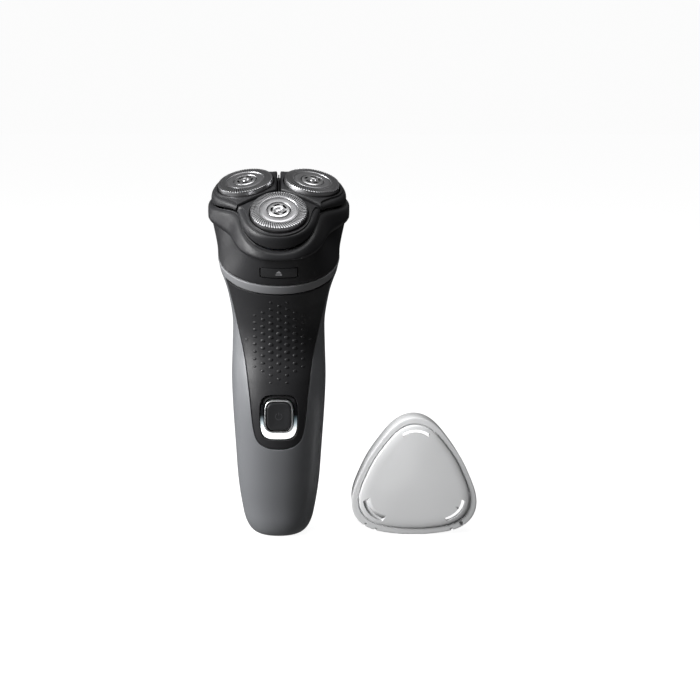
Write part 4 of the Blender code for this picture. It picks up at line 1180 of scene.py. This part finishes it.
def make_world():
    """White behind the object, and a dim studio round it, brighter overhead and towards the floor."""
    world = bpy.data.worlds.new("studio")
    bpy.context.scene.world = world
    world.use_nodes = True
    tree = world.node_tree
    tree.nodes.clear()
    way = linked(tree, "ShaderNodeTexCoord").outputs["Generated"]
    up = linked(tree, "ShaderNodeSeparateXYZ", {"Vector": way})
    above = ranged(tree, up.outputs["Z"], 0.02, 0.22, -0.1, 0.9)
    below = ranged(tree, up.outputs["Z"], 0.24, 0.0, -0.95, -0.2)
    amount = calculated(tree, "ADD", above, below)
    studio = linked(tree, "ShaderNodeBackground", {"Strength": amount}, Color=(1, 1, 1, 1))
    white = linked(tree, "ShaderNodeBackground", Color=(1, 1, 1, 1), Strength=0.97)
    seen = linked(tree, "ShaderNodeLightPath").outputs["Is Camera Ray"]
    mixed = linked(tree, "ShaderNodeMixShader")
    tree.links.new(seen, mixed.inputs[0])
    tree.links.new(studio.outputs["Background"], mixed.inputs[1])
    tree.links.new(white.outputs["Background"], mixed.inputs[2])
    output = linked(tree, "ShaderNodeOutputWorld")
    tree.links.new(mixed.outputs["Shader"], output.inputs["Surface"])


def make_softbox(name, azimuth, height, width, tall, energy):
    """A rectangular light that faces the object; azimuth 0 is the front, negative to the left."""
    data = bpy.data.lights.new(name, "AREA")
    data.shape, data.size, data.size_y, data.energy = "RECTANGLE", width, tall, energy
    made = bpy.data.objects.new(name, data)
    bpy.context.scene.collection.objects.link(made)
    a, h = math.radians(azimuth), math.radians(height)
    way = Vector((math.sin(a) * math.cos(h), -math.cos(a) * math.cos(h), math.sin(h)))
    made.location = LIGHT_AIM + way * LIGHT_DISTANCE
    made.rotation_euler = (-way).to_track_quat("-Z", "Y").to_euler()


def make_camera():
    data = bpy.data.cameras.new("view")
    data.lens, data.sensor_width, data.shift_x = 73.5, 36.0, VIEW_SHIFT
    made = bpy.data.objects.new("view", data)
    bpy.context.scene.collection.objects.link(made)
    way = Vector((0, math.cos(VIEW_HEIGHT), -math.sin(VIEW_HEIGHT)))
    made.location = VIEW_CENTRE - way * VIEW_DISTANCE
    made.rotation_euler = way.to_track_quat("-Z", "Y").to_euler()
    bpy.context.scene.camera = made


def main():
    finishes = make_finishes()
    black, face, mark = finishes["black_shell"], finishes["button_face"], finishes["mark_grey"]
    make_rear(finishes["grey_shell"])
    make_cover(black)
    piece("grip_dots", grip_dots(), black, "housing")
    make_bezel(black, finishes["light_guide"])
    make_button(face, finishes["silver_trim"])
    make_power_mark(finishes["mark_dim"])
    make_bowl(finishes["holder_black"])
    make_petals(finishes["holder_black"])
    make_rib(black)
    # The charging socket's black also colours the painted-shade plates under the centre discs.
    make_guards(finishes["shaver_steel"], finishes["bright_steel"], finishes["socket_black"])
    make_collar(black, finishes["band_grey"], face, mark)
    make_cap(finishes["cap_satin"])
    dress_kept_nodes(finishes)

    make_stage()
    make_world()
    make_softbox("key", -66, 23, width=0.5, tall=0.7, energy=19.0)
    make_softbox("edge", -105, 12, width=0.15, tall=0.8, energy=2.5)
    make_softbox("overhead", 10, 78, width=0.7, tall=0.5, energy=4.0)
    make_camera()
    bpy.context.scene.view_settings.view_transform = "Standard"


main()
